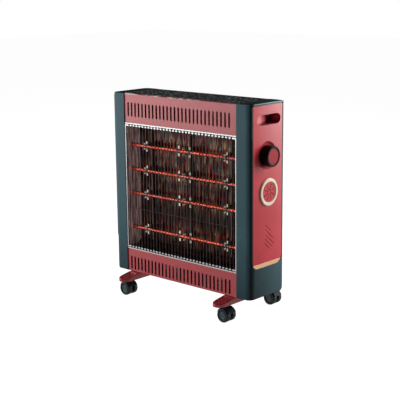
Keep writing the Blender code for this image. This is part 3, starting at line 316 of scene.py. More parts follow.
def moulded(name, low, high, edge_wear_and_highlight, rough, grain_size=0.7, bump=0.15, dust=0.15, metal=0.0,
            cloud_size=70.0, edge=0.7, specular=0.5, coat=0.0, crown=0.0, marks=(), matt=()):
    """Sizes are in millimetres, a crown in metres. A mark is (spans, share, colour), and a matt
    place (spans, extra roughness)."""
    material, net, shader = start_finish(name)
    grain = place_group(net, GRAIN, {"Size": grain_size, "Cloud Size": cloud_size})
    soft = place_group(net, SOFT_EDGE, {"Radius": edge})
    film = place_group(net, DUST, {"Amount": dust})["Film"]
    place = places_on_casing(net, grain["Cloud"])
    tone = net.mix(grain["Cloud"], low, high)
    # Paler edges: partly wear, partly painted highlight.
    tone = net.mix(net.math("MULTIPLY", soft["Edge Mark"], EDGE_WEAR_AND_HIGHLIGHT_SHARE), tone, edge_wear_and_highlight)
    tone = net.mix(film, tone, DUST_TONE)
    for spans, share, mark in marks:
        tone = net.mix(shown(net, place, spans, share), tone, mark)
    dull = net.math("ADD", net.span(grain["Cloud"], 0.0, 1.0, *rough), film)
    for spans, extra in matt:
        dull = net.math("ADD", dull, shown(net, place, spans, extra))
    normal = crowned(net, place, crown, soft["Normal"]) if crown else soft["Normal"]
    relief = net.node("Bump", {"Height": grain["Height"], "Strength": bump,
                               "Distance": GRAIN_DEPTH, "Normal": normal})
    net.fill(shader.inputs["Base Color"], tone)
    net.fill(shader.inputs["Roughness"], dull)
    net.fill(shader.inputs["Normal"], relief.outputs["Normal"])
    shader.inputs["Metallic"].default_value = metal
    shader.inputs["Specular IOR Level"].default_value = specular
    shader.inputs["Coat Weight"].default_value = coat
    shader.inputs["Coat Roughness"].default_value = COAT_ROUGHNESS
    return material


# %% [markdown]
# ## Marks on the casing
# The places of the marks are measured from edges that a ruler could reach: the casing's lower
# edge and top, the seam at the front of the side insert, and the outer faces of the cap and of
# the insert.

# %% Spans measured from the casing's edges
CASING_TOP = RIGHT_CAP[1][2]
CAP_FACE = RIGHT_CAP[1][0] - CASING.x
INSERT_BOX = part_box("right_side_panel")
INSERT_FACE = INSERT_BOX[1][0] - CASING.x
INSERT_TOP = INSERT_BOX[1][2]
SEAM = INSERT_BOX[0][1]


def up(start, end):
    """A span of heights above the casing's lower edge. These spans are in millimetres."""
    return ("Z", CASING.z + start * MM, CASING.z + end * MM)


def below(edge, start, end):
    """A span of heights below a top edge."""
    return ("Z", edge - start * MM, edge - end * MM)


def past_seam(start, end):
    """A span toward the rear from the front edge of the side insert."""
    return ("Y", SEAM + start * MM, SEAM + end * MM)


def sunk(face, start, end):
    """A span of depths under an outer face, at both ends of the casing."""
    return ("OUT", face - start * MM, face - end * MM)


print("insert's face lies in by, mm:", round((CAP_FACE - INSERT_FACE) / MM, 1))

# %% [markdown]
# The painted panels are folded back at the top. The fold of the front panel carries a line of
# painted shade, with a painted highlight broken along it except near its right end. The rear
# panel's fold stands behind the grille and carries painted shade, almost black. The lower front
# panel is painted a brighter red, as painted light.

# %% Marks on the painted panels
HIGHLIGHT_END = 150.0 * MM
FOLD = below(CASING_TOP, 4.0, 1.5)
FOLD_LINE_SHADE = ([FOLD], 0.8, colour(118, 18, 28))
FOLD_HIGHLIGHT = ([FOLD, ("CLOUD", 0.45, 0.6), ("X", CASING.x + HIGHLIGHT_END, CASING.x)], 0.9,
             colour(255, 236, 230))
FOLD_SHADE = ([FOLD], 0.95, colour(20, 16, 18))
LOW_PAINTED_LIGHT = ([up(140.0, 100.0)], 0.85, colour(210, 80, 86))
print("fold, m:", [round(place, 4) for place in FOLD[1:]])

# %% [markdown]
# The side insert sits in its recess with painted shade along the seam in front and on top. The
# walls of the grip pocket are painted lighter, as painted light, its floor carries painted shade,
# and a line of painted shade runs along its lip. The dish round the knob is duller than the face,
# with painted shade on its floor. In the upper front part the red is painted brighter and
# stronger, as painted light.

# %% Marks on the side insert
SEAM_SHADE_TONE = colour(36, 6, 10)
DISH_HEIGHTS = up(450.0, 445.0)
LIP_HEIGHTS = [up(487.0, 484.0), up(478.0, 479.5)]
SEAM_FRONT_SHADE = ([past_seam(5.0, 3.0)], 0.95, SEAM_SHADE_TONE)
SEAM_TOP_SHADE = ([below(INSERT_TOP, 2.5, 1.5)], 0.85, SEAM_SHADE_TONE)
GRIP_PAINTED_LIGHT = ([sunk(INSERT_FACE, 4.0, 9.0)], 0.4, colour(232, 130, 132))
GRIP_DEEP_SHADE = ([sunk(INSERT_FACE, 24.0, 33.0)], 0.6, colour(60, 4, 8))
GRIP_LIP_SHADE = ([sunk(INSERT_FACE, 0.6, 1.2), *LIP_HEIGHTS], 0.8, colour(112, 14, 24))
DISH_FLOOR_SHADE = ([sunk(INSERT_FACE, 2.0, 3.2), DISH_HEIGHTS], 0.45, colour(120, 24, 34))
DISH_MATT = ([sunk(INSERT_FACE, 0.1, 0.5), DISH_HEIGHTS], 0.5)
INSERT_PAINTED_LIGHT = ([past_seam(70.0, 5.0), up(200.0, 330.0)], 0.6, colour(232, 52, 64))
print("seam of the insert, m from the front of the cap:", round(SEAM - RIGHT_CAP[0][1], 4))

# %% [markdown]
# The end caps carry painted shade on the lid, in the corner beside the seam and at the front of
# the chin, the block below the strip. They are also darker towards the bottom. Along the top of
# the side runs a moulded rim, with a painted highlight line and a line of painted shade under it.

# %% Marks on the end caps
RIM_DEPTH = sunk(CAP_FACE, 1.2, 0.5)
CAP_LID_SHADE = ([below(CASING_TOP, 0.6, 0.1)], 0.85, colour(10, 15, 17))
CORNER_SHADE = ([past_seam(-6.0, -2.5), past_seam(4.0, 2.0)], 0.85, colour(18, 12, 16))
CHIN_SHADE = ([up(100.0, 88.0), past_seam(150.0, 0.0), sunk(CAP_FACE, 9.0, 4.0)], 0.55,
              colour(12, 20, 24))
LOW_DARKENING = ([up(170.0, 0.0)], 0.55, colour(22, 36, 42))
RIM_LIGHT = ([below(CASING_TOP, 3.2, 2.6), past_seam(-3.0, 8.0), RIM_DEPTH], 0.85,
             colour(160, 188, 190))
RIM_SHADE = ([below(CASING_TOP, 2.6, 3.2), below(CASING_TOP, 8.0, 6.0), past_seam(-3.0, 3.0),
              RIM_DEPTH], 0.8, colour(14, 18, 22))
print("outer face of the cap, m from the middle:", round(CAP_FACE, 4))

# %% [markdown]
# ## Casing
# The casing's sheets are powder-coated steel: a red with a faint metallic sparkle and the
# orange-peel skin that powder leaves. The side inserts are moulded in a matching red, a little
# more saturated. The end caps are a slate plastic with a spark-eroded grain. The lattice on top
# is black, with painted pale glints on its crests here and there.

# %% Casing finishes
CREST_GLINT = ([below(CASING_TOP, 1.2, 0.6), ("CLOUD", 0.62, 0.72)], 0.75, colour(150, 162, 162))


def powder_red(name, marks):
    return moulded(name, colour(180, 68, 74), colour(192, 80, 84), colour(222, 158, 156),
                   (0.34, 0.46), grain_size=1.4, bump=0.12, dust=0.08, metal=0.1, coat=0.12,
                   marks=marks)


POWDER_RED = powder_red("powder_red", [LOW_PAINTED_LIGHT, FOLD_LINE_SHADE, FOLD_HIGHLIGHT])
REAR_RED = powder_red("rear_powder_red", [FOLD_SHADE])
INSERT_RED = moulded("insert_red", colour(198, 46, 57), colour(210, 56, 67),
                     colour(214, 124, 124), (0.32, 0.4), grain_size=0.9, bump=0.12, dust=0.04,
                     crown=0.9, specular=0.36, matt=[DISH_MATT],
                     marks=[INSERT_PAINTED_LIGHT, GRIP_PAINTED_LIGHT, GRIP_DEEP_SHADE, GRIP_LIP_SHADE, DISH_FLOOR_SHADE,
                            SEAM_FRONT_SHADE, SEAM_TOP_SHADE])
SLATE = moulded("slate_moulding", colour(64, 99, 108), colour(74, 111, 120),
                colour(140, 170, 174), (0.42, 0.54), grain_size=0.8, bump=0.2, dust=0.03,
                specular=0.16, edge=2.0, crown=0.5,
                marks=[LOW_DARKENING, CHIN_SHADE, CORNER_SHADE, RIM_LIGHT, RIM_SHADE, CAP_LID_SHADE])
GRILLE_BLACK = moulded("grille_black", colour(9, 10, 12), colour(16, 17, 19),
                       colour(120, 128, 128), (0.4, 0.55), dust=0.01, specular=0.15, edge=0.8,
                       cloud_size=9.0, marks=[CREST_GLINT])
show_finishes(POWDER_RED, REAR_RED, INSERT_RED, SLATE, GRILLE_BLACK)

# %% [markdown]
# ## Knob, vent and strips
# The right end carries the control and the vent: a black knob with a red face, and a red
# perforated disc in an ivory ring. A peach-coloured strip closes the foot of each insert.

# %% Finishes of the knob, the vent and the strips
VENT_RED = moulded("vent_red", colour(204, 46, 56), colour(216, 58, 66), colour(226, 110, 112),
                   (0.4, 0.5), grain_size=0.9, bump=0.12, dust=0.03, specular=0.3, edge=0.4)
PEACH = moulded("peach_strip", colour(255, 190, 140), colour(255, 204, 156),
                colour(255, 226, 196), (0.3, 0.4), grain_size=0.5, bump=0.05, dust=0.02)
IVORY = moulded("ivory_ring", colour(255, 238, 208), colour(255, 246, 222),
                colour(255, 250, 236), (0.4, 0.5), grain_size=0.6, bump=0.08, dust=0.02)
KNOB_BLACK = moulded("knob_black", colour(9, 8, 9), colour(15, 13, 14), colour(44, 40, 42),
                     (0.36, 0.46), grain_size=0.6, bump=0.1, dust=0.02, specular=0.1)
KNOB_RED = moulded("knob_face_red", colour(174, 36, 45), colour(190, 45, 54),
                   colour(200, 108, 114), (0.4, 0.5), grain_size=0.8, bump=0.08, dust=0.03,
                   specular=0.12)
show_finishes(VENT_RED, PEACH, IVORY, KNOB_BLACK, KNOB_RED)

# %% [markdown]
# ## Underside
# The foot bars are pressed steel in a deeper and glossier red than the casing. The casters'
# hoods are a dull charcoal plastic, and the treads a slightly softer one with a coarser grain.

# %% Finishes under the body
MAROON = moulded("foot_maroon", colour(172, 22, 30), colour(192, 32, 40), colour(226, 130, 128),
                 (0.2, 0.3), grain_size=1.2, bump=0.06, dust=0.0, metal=0.1, coat=0.4, edge=1.2)
CHARCOAL = moulded("caster_charcoal", colour(18, 31, 37), colour(26, 41, 48),
                   colour(70, 90, 98), (0.5, 0.6), grain_size=0.6, bump=0.12, dust=0.0,
                   specular=0.08)
TREAD = moulded("wheel_tread", colour(19, 28, 33), colour(27, 37, 42), colour(80, 92, 96),
                (0.42, 0.6), grain_size=1.0, bump=0.2, dust=0.03, specular=0.3)
show_finishes(MAROON, CHARCOAL, TREAD)

# %% [markdown]
# ## Inner parts and metal
# The tube ends are steatite, a dense white ceramic that stands the heat. The switches and the
# terminal block are cream plastic. Bare metal is drawn or plated: streaks change its colour and
# gloss, and press faint waves in it.

# %% Finishes of the inner parts
METAL_EDGE = 0.4
WAVE_DEPTH = 0.2 * MM
WAVE_STRENGTH = 0.04


def bright_metal(name, low, high, rough, streak=(2.0, 200.0)):
    """Streaked metal between two tones. A streak is its (width, length) in millimetres."""
    material, net, shader = start_finish(name)
    lines = place_group(net, STREAKS, {"Width": streak[0], "Length": streak[1]})["Streak"]
    soft = place_group(net, SOFT_EDGE, {"Radius": METAL_EDGE})
    relief = net.node("Bump", {"Height": lines, "Strength": WAVE_STRENGTH,
                               "Distance": WAVE_DEPTH, "Normal": soft["Normal"]})
    net.fill(shader.inputs["Base Color"], net.mix(lines, low, high))
    net.fill(shader.inputs["Roughness"], net.span(lines, 0.0, 1.0, *rough))
    net.fill(shader.inputs["Normal"], relief.outputs["Normal"])
    shader.inputs["Metallic"].default_value = 1.0
    return material


CERAMIC = moulded("steatite", colour(206, 200, 188), colour(222, 217, 206),
                  colour(236, 232, 224), (0.6, 0.75), grain_size=0.5, bump=0.15, dust=0.1)
PALE_PLASTIC = moulded("terminal_cream", colour(198, 194, 178), colour(212, 208, 194),
                       colour(226, 223, 212), (0.45, 0.6), dust=0.25)
ZINC = bright_metal("zinc_plate", colour(150, 152, 156), colour(184, 186, 188), (0.3, 0.45),
                    (3.0, 60.0))
DARK_WIRE = bright_metal("dark_wire", colour(40, 36, 36), colour(86, 80, 78), (0.3, 0.45))
show_finishes(CERAMIC, PALE_PLASTIC, ZINC, DARK_WIRE)

# %% [markdown]
# ## Guard
# The guard is one chromed frame. Its wires are painted dark, as a painted reflection of the dark
# inside, while the rails and the side flanges are painted nearly white, partly as a painted
# reflection of the white floor. A mask in the guard's own coordinates tells the wires from the
# frame: inside the opening there is nothing but wire. Along each rail runs a line of painted shade
# in its fold.

# %% Guard masks
RAIL = 9.4 * MM
FLANGE = 3.6 * MM
FOLD_DROP = 4.4 * MM
FOLD_WIDTH = 2.4 * MM
GUARD_LOW, GUARD_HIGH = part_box("front_guard")


def between(net, value, low, high):
    """A mask that is 1 where a value lies between two others."""
    return net.math("MULTIPLY", net.math("GREATER_THAN", value, low),
                    net.math("LESS_THAN", value, high))


def fold_shade_lines(net, height):
    """A mask of the line of painted shade that runs along the fold of each rail."""
    middle = (GUARD_LOW[2] + GUARD_HIGH[2]) / 2
    from_middle = net.math("ABSOLUTE", net.math("SUBTRACT", height, middle))
    from_edge = net.math("SUBTRACT", (GUARD_HIGH[2] - GUARD_LOW[2]) / 2, from_middle)
    from_fold = net.math("ABSOLUTE", net.math("SUBTRACT", from_edge, FOLD_DROP))
    return net.math("LESS_THAN", from_fold, FOLD_WIDTH / 2)


print("guard's height, mm:", round((GUARD_HIGH[2] - GUARD_LOW[2]) / MM, 1))

# %% Guard finish
GUARD_CHROME, net, shader = start_finish("guard_chrome")
place = net.node("SeparateXYZ", {0: net.node("TexCoord").outputs["Object"]}).outputs
inside = net.math("MULTIPLY",
                  between(net, place["Z"], GUARD_LOW[2] + RAIL, GUARD_HIGH[2] - RAIL),
                  between(net, place["X"], GUARD_LOW[0] + FLANGE, GUARD_HIGH[0] - FLANGE))
lines = place_group(net, STREAKS, {"Width": 9.0, "Length": 60.0})["Streak"]
# Painted reflections: the frame near white, partly as the white floor it reflects, and the wires
# dark, as the dark inside they reflect.
chrome_and_reflection_tone = net.mix(lines, colour(226, 225, 224), colour(244, 243, 243))
wire_dark_reflection = net.mix(lines, colour(38, 34, 34), colour(92, 84, 82))
guard_tone = net.mix(inside, chrome_and_reflection_tone, wire_dark_reflection)
# The fold lines carry painted shade.
guard_tone = net.mix(fold_shade_lines(net, place["Z"]), guard_tone, colour(16, 20, 24))
net.fill(shader.inputs["Base Color"], guard_tone)
net.fill(shader.inputs["Roughness"], net.span(inside, 0.0, 1.0, 0.3, 0.36))
net.fill(shader.inputs["Metallic"], net.span(inside, 0.0, 1.0, 0.3, 0.9))
soft = place_group(net, SOFT_EDGE, {"Radius": METAL_EDGE})
net.fill(shader.inputs["Normal"], soft["Normal"])
show_finishes(GUARD_CHROME)

# %% [markdown]
# ## Reflector
# The reflector behind the tubes is thin polished sheet, tinted by heat: upright streaks of soot
# brown, straw and dull red, with bluish bands between. The straw and red streaks are strongest
# near the tubes, where they are partly painted reflections of the glowing coils. Its side walls
# are painted pale and given a faint glow of their own, as painted light from the tubes, and the
# lip behind the guard is near black.

# %% Nearness to the tubes
TUBES = (1, 2, 3, 4)
TUBE_BOXES = [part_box("quartz_tube_%d" % number) for number in TUBES]
TUBE_HEIGHTS = [(low[2] + high[2]) / 2 for low, high in TUBE_BOXES]


def tube_nearness(net, height, zero_at, one_at):
    """A mask that is 1 within `one_at` millimetres of a tube's height and 0 beyond `zero_at`."""
    nearest = None
    for tube in TUBE_HEIGHTS:
        away = net.math("ABSOLUTE", net.math("SUBTRACT", height, tube))
        nearest = away if nearest is None else net.math("MINIMUM", nearest, away)
    return net.span(nearest, zero_at * MM, one_at * MM)


print("tubes' heights, m:", [round(height, 3) for height in TUBE_HEIGHTS])

# %% Reflector finish
LIP_DEPTH = 1.5 * MM
WALL_PAINTED_GLOW = (0.13, 0.08, 0.075, 1.0)
TRAY, net, shader = start_finish("tinted_sheet_painted_reflections")
place = net.node("SeparateXYZ", {0: net.node("TexCoord").outputs["Object"]}).outputs
fine = place_group(net, STREAKS, {"Width": 4.5, "Length": 45.0})["Streak"]
warm = place_group(net, STREAKS, {"Width": 7.0, "Length": 20.0})["Streak"]
broad = place_group(net, STREAKS, {"Width": 15.0, "Length": 60.0})["Streak"]
near = tube_nearness(net, place["Z"], 40.0, 18.0)
# Straw and red streaks near the tubes: heat tint, partly painted reflections of the coils.
straw = net.math("MULTIPLY", net.span(fine, 0.45, 0.9), net.span(near, 0.0, 1.0, 0.2, 1.0))
red_tint_and_reflection = net.math("MULTIPLY", net.span(warm, 0.5, 0.85), net.span(near, 0.0, 1.0, 0.45, 1.0))
tone = net.mix(straw, colour(18, 11, 10), colour(112, 102, 80))
tone = net.mix(red_tint_and_reflection, tone, colour(104, 8, 14))
tone = net.mix(net.span(broad, 0.6, 1.0, 0.0, 0.5), tone, colour(52, 68, 78))
sideways = net.node("SeparateXYZ", {0: net.node("NewGeometry").outputs["Normal"]}).outputs["X"]
# The side walls: painted pale, with a painted glow.
wall = net.math("MULTIPLY", net.span(sideways, 0.6, 0.9), net.span(fine, 0.2, 0.8, 0.15, 1.0))
tone = net.mix(wall, tone, colour(226, 196, 190))
lip = net.math("LESS_THAN", place["Y"], GUARD_HIGH[1] + LIP_DEPTH)
waves = net.node("Bump", {"Height": fine, "Strength": 0.8, "Distance": 1.2 * MM})
net.fill(shader.inputs["Base Color"], net.mix(lip, tone, colour(14, 16, 18)))
net.fill(shader.inputs["Roughness"], net.span(fine, 0.0, 1.0, 0.12, 0.3))
net.fill(shader.inputs["Normal"], waves.outputs["Normal"])
net.fill(shader.inputs["Emission Color"], net.mix(wall, BLACK, WALL_PAINTED_GLOW))
shader.inputs["Emission Strength"].default_value = 1.0
shader.inputs["Metallic"].default_value = 1.0
show_finishes(TRAY)

# %% [markdown]
# ## Racks and clips
# The racks, and the clips beside them, are steatite like the tube ends. A rack is dark, but close
# to each tube it is painted pale and given a glow of its own, as painted light from the tube. On a
# clip it is the other way round: the band round the tube is dark, and the ears that stand clear of
# it are painted pale and glowing, as painted highlights.

# %% Finishes of the racks and clips
GLOW_FADE = 4.0
RACK_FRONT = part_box("tube_rack_middle")[0][1]


def steatite_with_painted_glow(name, zero_at, one_at, deep, glow):
    """Steatite that turns from dark to pale, with a painted glow, between two distances from the
    nearest tube's middle, in millimetres, and only down to `deep` millimetres behind the racks'
    front."""
    material, net, shader = start_finish(name)
    place = net.node("SeparateXYZ", {0: net.node("TexCoord").outputs["Object"]}).outputs
    grain = place_group(net, GRAIN, {"Size": 1.5, "Cloud Size": 12.0})
    in_front = net.span(place["Y"], RACK_FRONT + (deep + GLOW_FADE) * MM,
                        RACK_FRONT + deep * MM)
    lit = net.math("MULTIPLY", tube_nearness(net, place["Z"], zero_at, one_at), in_front)
    lamp = net.math("MULTIPLY", lit, net.span(grain["Cloud"], 0.0, 1.0, 0.5, 1.0))
    relief = net.node("Bump", {"Height": grain["Height"], "Strength": 0.2,
                               "Distance": GRAIN_DEPTH})
    net.fill(shader.inputs["Base Color"],
             net.mix(lit, colour(104, 88, 80), colour(222, 214, 196)))
    net.fill(shader.inputs["Roughness"], net.span(grain["Cloud"], 0.0, 1.0, 0.55, 0.75))
    net.fill(shader.inputs["Normal"], relief.outputs["Normal"])
    net.fill(shader.inputs["Emission Color"], net.mix(lamp, BLACK, glow))
    shader.inputs["Emission Strength"].default_value = 1.0
    return material


RACK = steatite_with_painted_glow("rack_steatite", 15.0, 7.0, 5.0, (0.16, 0.14, 0.12, 1.0))
CLIP_STEATITE = steatite_with_painted_glow("clip_steatite", 7.0, 7.4, 40.0, (0.46, 0.42, 0.34, 1.0))
show_finishes(RACK, CLIP_STEATITE)

# %% [markdown]
# ## Quartz and glow
# A quartz tube is clear, slightly milky glass round a resistance coil that glows. The coil gives
# the light, orange at the right end and a dull red toward the left, and it stays dark where the
# right rack holds its tube. The glass only takes a warm tint. It has no gloss of its own, because
# white reflections of the studio would hide the thin glowing line.

# %% Quartz
QUARTZ_IOR = 1.46
QUARTZ, net, shader = start_finish("milky_quartz")
grain = place_group(net, GRAIN, {"Size": 6.0, "Cloud Size": 40.0})
net.fill(shader.inputs["Base Color"],
         net.mix(grain["Cloud"], colour(255, 150, 112), colour(255, 176, 144)))
net.fill(shader.inputs["Roughness"], net.span(grain["Cloud"], 0.0, 1.0, 0.05, 0.14))
shader.inputs["IOR"].default_value = QUARTZ_IOR
shader.inputs["Specular IOR Level"].default_value = 0.0
shader.inputs["Transmission Weight"].default_value = 1.0
show_finishes(QUARTZ)

# %% Glowing wire
WIRE_RED = (0.22, 0.006, 0.0, 1.0)
WIRE_ORANGE = (1.0, 0.22, 0.01, 1.0)
WIRE_DULL = (0.25, 0.004, 0.001, 1.0)
DULL_START, DULL_END = 200.0 * MM, -250.0 * MM
COLD_REACH = 15.0 * MM
GLOW_STRENGTH = 1.7
rack_low, rack_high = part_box("tube_rack_right")
GLOW, net, shader = start_finish("glowing_wire")
place = net.node("SeparateXYZ", {0: net.node("TexCoord").outputs["Object"]}).outputs
grain = place_group(net, GRAIN, {"Size": 5.0, "Cloud Size": 14.0})
heat = net.mix(net.span(grain["Cloud"], 0.35, 1.0), WIRE_RED, WIRE_ORANGE)
leftward = net.span(place["X"], CASING.x + DULL_START, CASING.x + DULL_END, 0.0, 0.7)
heat = net.mix(leftward, heat, WIRE_DULL)
from_rack = net.math("ABSOLUTE", net.math("SUBTRACT", place["X"], (rack_low[0] + rack_high[0]) / 2))
heat = net.mix(net.span(from_rack, COLD_REACH, COLD_REACH * 0.8), heat, BLACK)
net.fill(shader.inputs["Emission Color"], heat)
shader.inputs["Emission Strength"].default_value = GLOW_STRENGTH
shader.inputs["Base Color"].default_value = (0.3, 0.05, 0.02, 1.0)
show_finishes(GLOW)

# %% [markdown]
# ## Who wears what
# Each solid keeps its shape and gets a finish in its material slots. Surfaces that are round on
# the real thing are shaded smooth, up to the angle of a real edge.


def soften(mesh, degrees):
    """Shade across facets that meet at less than the angle. The vertices stay where they are."""
    limit = cos(radians(degrees))
    spots = [tuple(round(value, 6) for value in vertex.co) for vertex in mesh.vertices]
    around = {}
    for face in mesh.polygons:
        for corner in face.vertices:
            around.setdefault(spots[corner], []).append(face)
    normals = []
    for face in mesh.polygons:
        for corner in face.vertices:
            near = [other for other in around[spots[corner]]
                    if other.normal.dot(face.normal) > limit]
            total = sum((other.normal * other.area for other in near), Vector())
            normals.append(total.normalized())
    mesh.shade_smooth()
    mesh.normals_split_custom_set(normals)


def wear(finish, *names, smooth=0.0):
    for name in names:
        mesh = NODES[name].data
        mesh.materials.clear()
        mesh.materials.append(finish)
        if smooth:
            soften(mesh, smooth)
    print(finish.name, "on", len(names))


# %% Dress the outside
wear(POWDER_RED, "upper_front_panel", "lower_front_panel")
wear(REAR_RED, "rear_panel")
wear(INSERT_RED, "left_side_panel", "right_side_panel", smooth=28.0)
wear(VENT_RED, "vent_disc")
wear(SLATE, "left_end_cap", "right_end_cap", smooth=35.0)
wear(GRILLE_BLACK, "top_grille", "cord_gland")
wear(PEACH, "left_trim_strip", "right_trim_strip")
wear(IVORY, "vent_ring", smooth=35.0)
wear(KNOB_BLACK, "control_knob", smooth=35.0)
wear(KNOB_RED, "knob_cap", smooth=35.0)
wear(GUARD_CHROME, "front_guard")
wear(DARK_WIRE, "guard_cross_wire", smooth=50.0)

# %% Dress the inner parts and the underside
CASTERS = ("fl", "fr", "bl", "br")
wear(TRAY, "reflector")
wear(QUARTZ, *["quartz_tube_%d" % n for n in TUBES], smooth=40.0)
wear(CERAMIC, *["ceramic_%s_%d" % (side, n) for side in ("left", "right") for n in TUBES],
     smooth=40.0)
wear(RACK, "tube_rack_left", "tube_rack_middle", "tube_rack_right")
wear(ZINC, "base_plate", "switch_shaft", *["caster_%s_axle" % c for c in CASTERS])
wear(PALE_PLASTIC, "switch_body", "terminal_block", "tip_over_switch")
wear(MAROON, "left_foot_bar", "right_foot_bar", smooth=30.0)
wear(CHARCOAL, *["caster_%s_hood" % c for c in CASTERS], smooth=40.0)
wear(TREAD, *["caster_%s_wheel_%s" % (c, s) for c in CASTERS for s in ("front", "rear")])

# %% [markdown]
# ## Pieces that the solids leave out
# A helper writes a mesh, gives it a finish and lets it ride on a body of the frame. Most of the
# new pieces are turned, so a second helper turns a profile round an axis.

# %% Helpers for new pieces
def add_piece(name, shape, finish, body, smooth=40.0):
    bmesh.ops.recalc_face_normals(shape, faces=shape.faces)
    mesh = bpy.data.meshes.new(name)
    shape.to_mesh(mesh)
    shape.free()
    mesh.materials.append(finish)
    mesh.shade_smooth()
    mesh.set_sharp_from_angle(angle=radians(smooth))
    piece = bpy.data.objects.new(name, mesh)
    bpy.context.collection.objects.link(piece)
    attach(piece, body)
    return piece


def lathe(shape, profile, sides, centre, axis):
    """Turn (radius, height) points round an axis through the centre, in millimetres."""
    frame_of_axis = Vector(axis).to_track_quat("Z", "Y").to_matrix()
    rings = []
    for radius, height in profile:
        steps = 1 if radius == 0 else sides
        ring = []
        for step in range(steps):
            angle = 2 * pi * (step + 0.5) / sides
            offset = frame_of_axis @ Vector((radius * cos(angle), radius * sin(angle), height))
            ring.append(shape.verts.new(centre + offset * MM))
        rings.append(ring)
    pairs = list(zip(rings, rings[1:]))
    if profile[0][0] > 0:
        pairs.append((rings[-1], rings[0]))
    for ring, other in pairs:
        for step in range(sides):
            after = (step + 1) % sides
            corners = [ring[step % len(ring)], ring[after % len(ring)],
                       other[after % len(other)], other[step % len(other)]]
            shape.faces.new(list(dict.fromkeys(corners)))


# %% [markdown]
# ## The heating coils
# The solid stands for the coil with a few long curls. The real one is a spring of fine resistance
# wire, wound with a gap of two or three wires between its curls, and it ends in a straight tail.
# It is wound here by formula, as one bevelled curve for each tube.

# %% Finely wound coils
COIL_RADIUS = 2.4
COIL_WIRE = 0.8
COIL_PITCH = 2.9
COIL_END = 14.0
COIL_TAIL = 12.0
CURL_POINTS = 10
for number in TUBES:
    low, high = (Vector(corner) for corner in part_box("quartz_tube_%d" % number))
    middle = (low + high) / 2
    reach = (high.x - low.x) / 2 / MM - COIL_END
    turns = int(2 * reach / COIL_PITCH)
    steps = turns * CURL_POINTS
    curve = bpy.data.curves.new("coil_wire_%d" % number, "CURVE")
    curve.dimensions = "3D"
    curve.bevel_depth = COIL_WIRE / 2 * MM
    curve.bevel_resolution = 0
    curve.use_fill_caps = True
    places = [(-reach - COIL_TAIL, COIL_RADIUS, 0.0)]
    for step in range(steps + 1):
        angle = 2 * pi * step / CURL_POINTS
        places.append((-reach + 2 * reach * step / steps, COIL_RADIUS * cos(angle),
                       COIL_RADIUS * sin(angle)))
    places.append((reach + COIL_TAIL, COIL_RADIUS, 0.0))
    spline = curve.splines.new("POLY")
    spline.points.add(len(places) - 1)
    for knot, place in zip(spline.points, places):
        knot.co = (*(middle + Vector(place) * MM), 1.0)
    curve.materials.append(GLOW)
    coil = bpy.data.objects.new("coil_wire_%d" % number, curve)
    bpy.context.collection.objects.link(coil)
    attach(coil, "heater")
    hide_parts("heating_coil_%d" % number)
print("curls on each coil:", turns)

# %% [markdown]
# ## Square rear corners of the caps
# Toward the wall the cap's corner is nearly square, so that the heater can stand close to it,
# and only its foot is rounded. The solid has one radius all round; this strip fills the
# difference, leaving the recess of the side panel free.

# %% Sizes of the rear corner
CAP_ROUND = 19.0
CORNER_POWER = 8.0
CORNER_STEPS = 8
FOOT_ROUND = 14.0
FOOT_TURNS = (20, 40, 60, 90)
STRIP_PROUD = 0.1
STRIP_DEPTH = 1.0
STRIP_START = 33.0
CAP_HEIGHT = (RIGHT_CAP[1][2] - RIGHT_CAP[0][2]) / MM
CORNER_X = CAP_FACE / MM - CAP_ROUND
CORNER_Y = (RIGHT_CAP[1][1] - CASING.y) / MM - CAP_ROUND
RECESS_MARGIN = 1.0
RECESS_LOW = (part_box("right_trim_strip")[0][2] - CASING.z) / MM
RECESS_HIGH = (INSERT_TOP - CASING.z) / MM + RECESS_MARGIN
RECESS_ROUND = 24.0
print("recess of the side panel, mm:", round(RECESS_LOW, 1), "to", round(RECESS_HIGH, 1))

# %% [markdown]
# Seen from above, the outer line of the strip is a superellipse, which has a nearly square
# corner and no kink. Where it meets the cap's round face it stands a little proud of it, and its
# inner line lies under that face. Near the foot the corner grows from round to square.

# %% Rings of the rear corner
def strip_start(height):
    """Angle at which the strip starts, to stay clear of the side panel's recess."""
    if height <= RECESS_LOW - RECESS_MARGIN or height >= RECESS_HIGH:
        return 0.0
    rise = max(0.0, RECESS_LOW + RECESS_ROUND - height) / RECESS_ROUND
    return STRIP_START * (1.0 - min(1.0, rise) ** 2) ** 0.5


def strip_ring(shape, height, fullness, side):
    ring = []
    start = radians(strip_start(height))
    angles = [start + (pi / 2 - start) * step / CORNER_STEPS for step in range(CORNER_STEPS + 1)]
    for angle in angles:
        square = (cos(angle) ** CORNER_POWER + sin(angle) ** CORNER_POWER) ** (-1 / CORNER_POWER)
        reach = CAP_ROUND * (1 + (square - 1) * fullness) + STRIP_PROUD
        reach = min(reach, CAP_ROUND * square)
        ring.append((reach, angle))
    ring += [(CAP_ROUND - STRIP_DEPTH, angle) for angle in reversed(angles)]
    return [shape.verts.new(at(side * (CORNER_X + reach * cos(angle)),
                               CORNER_Y + reach * sin(angle), height)) for reach, angle in ring]


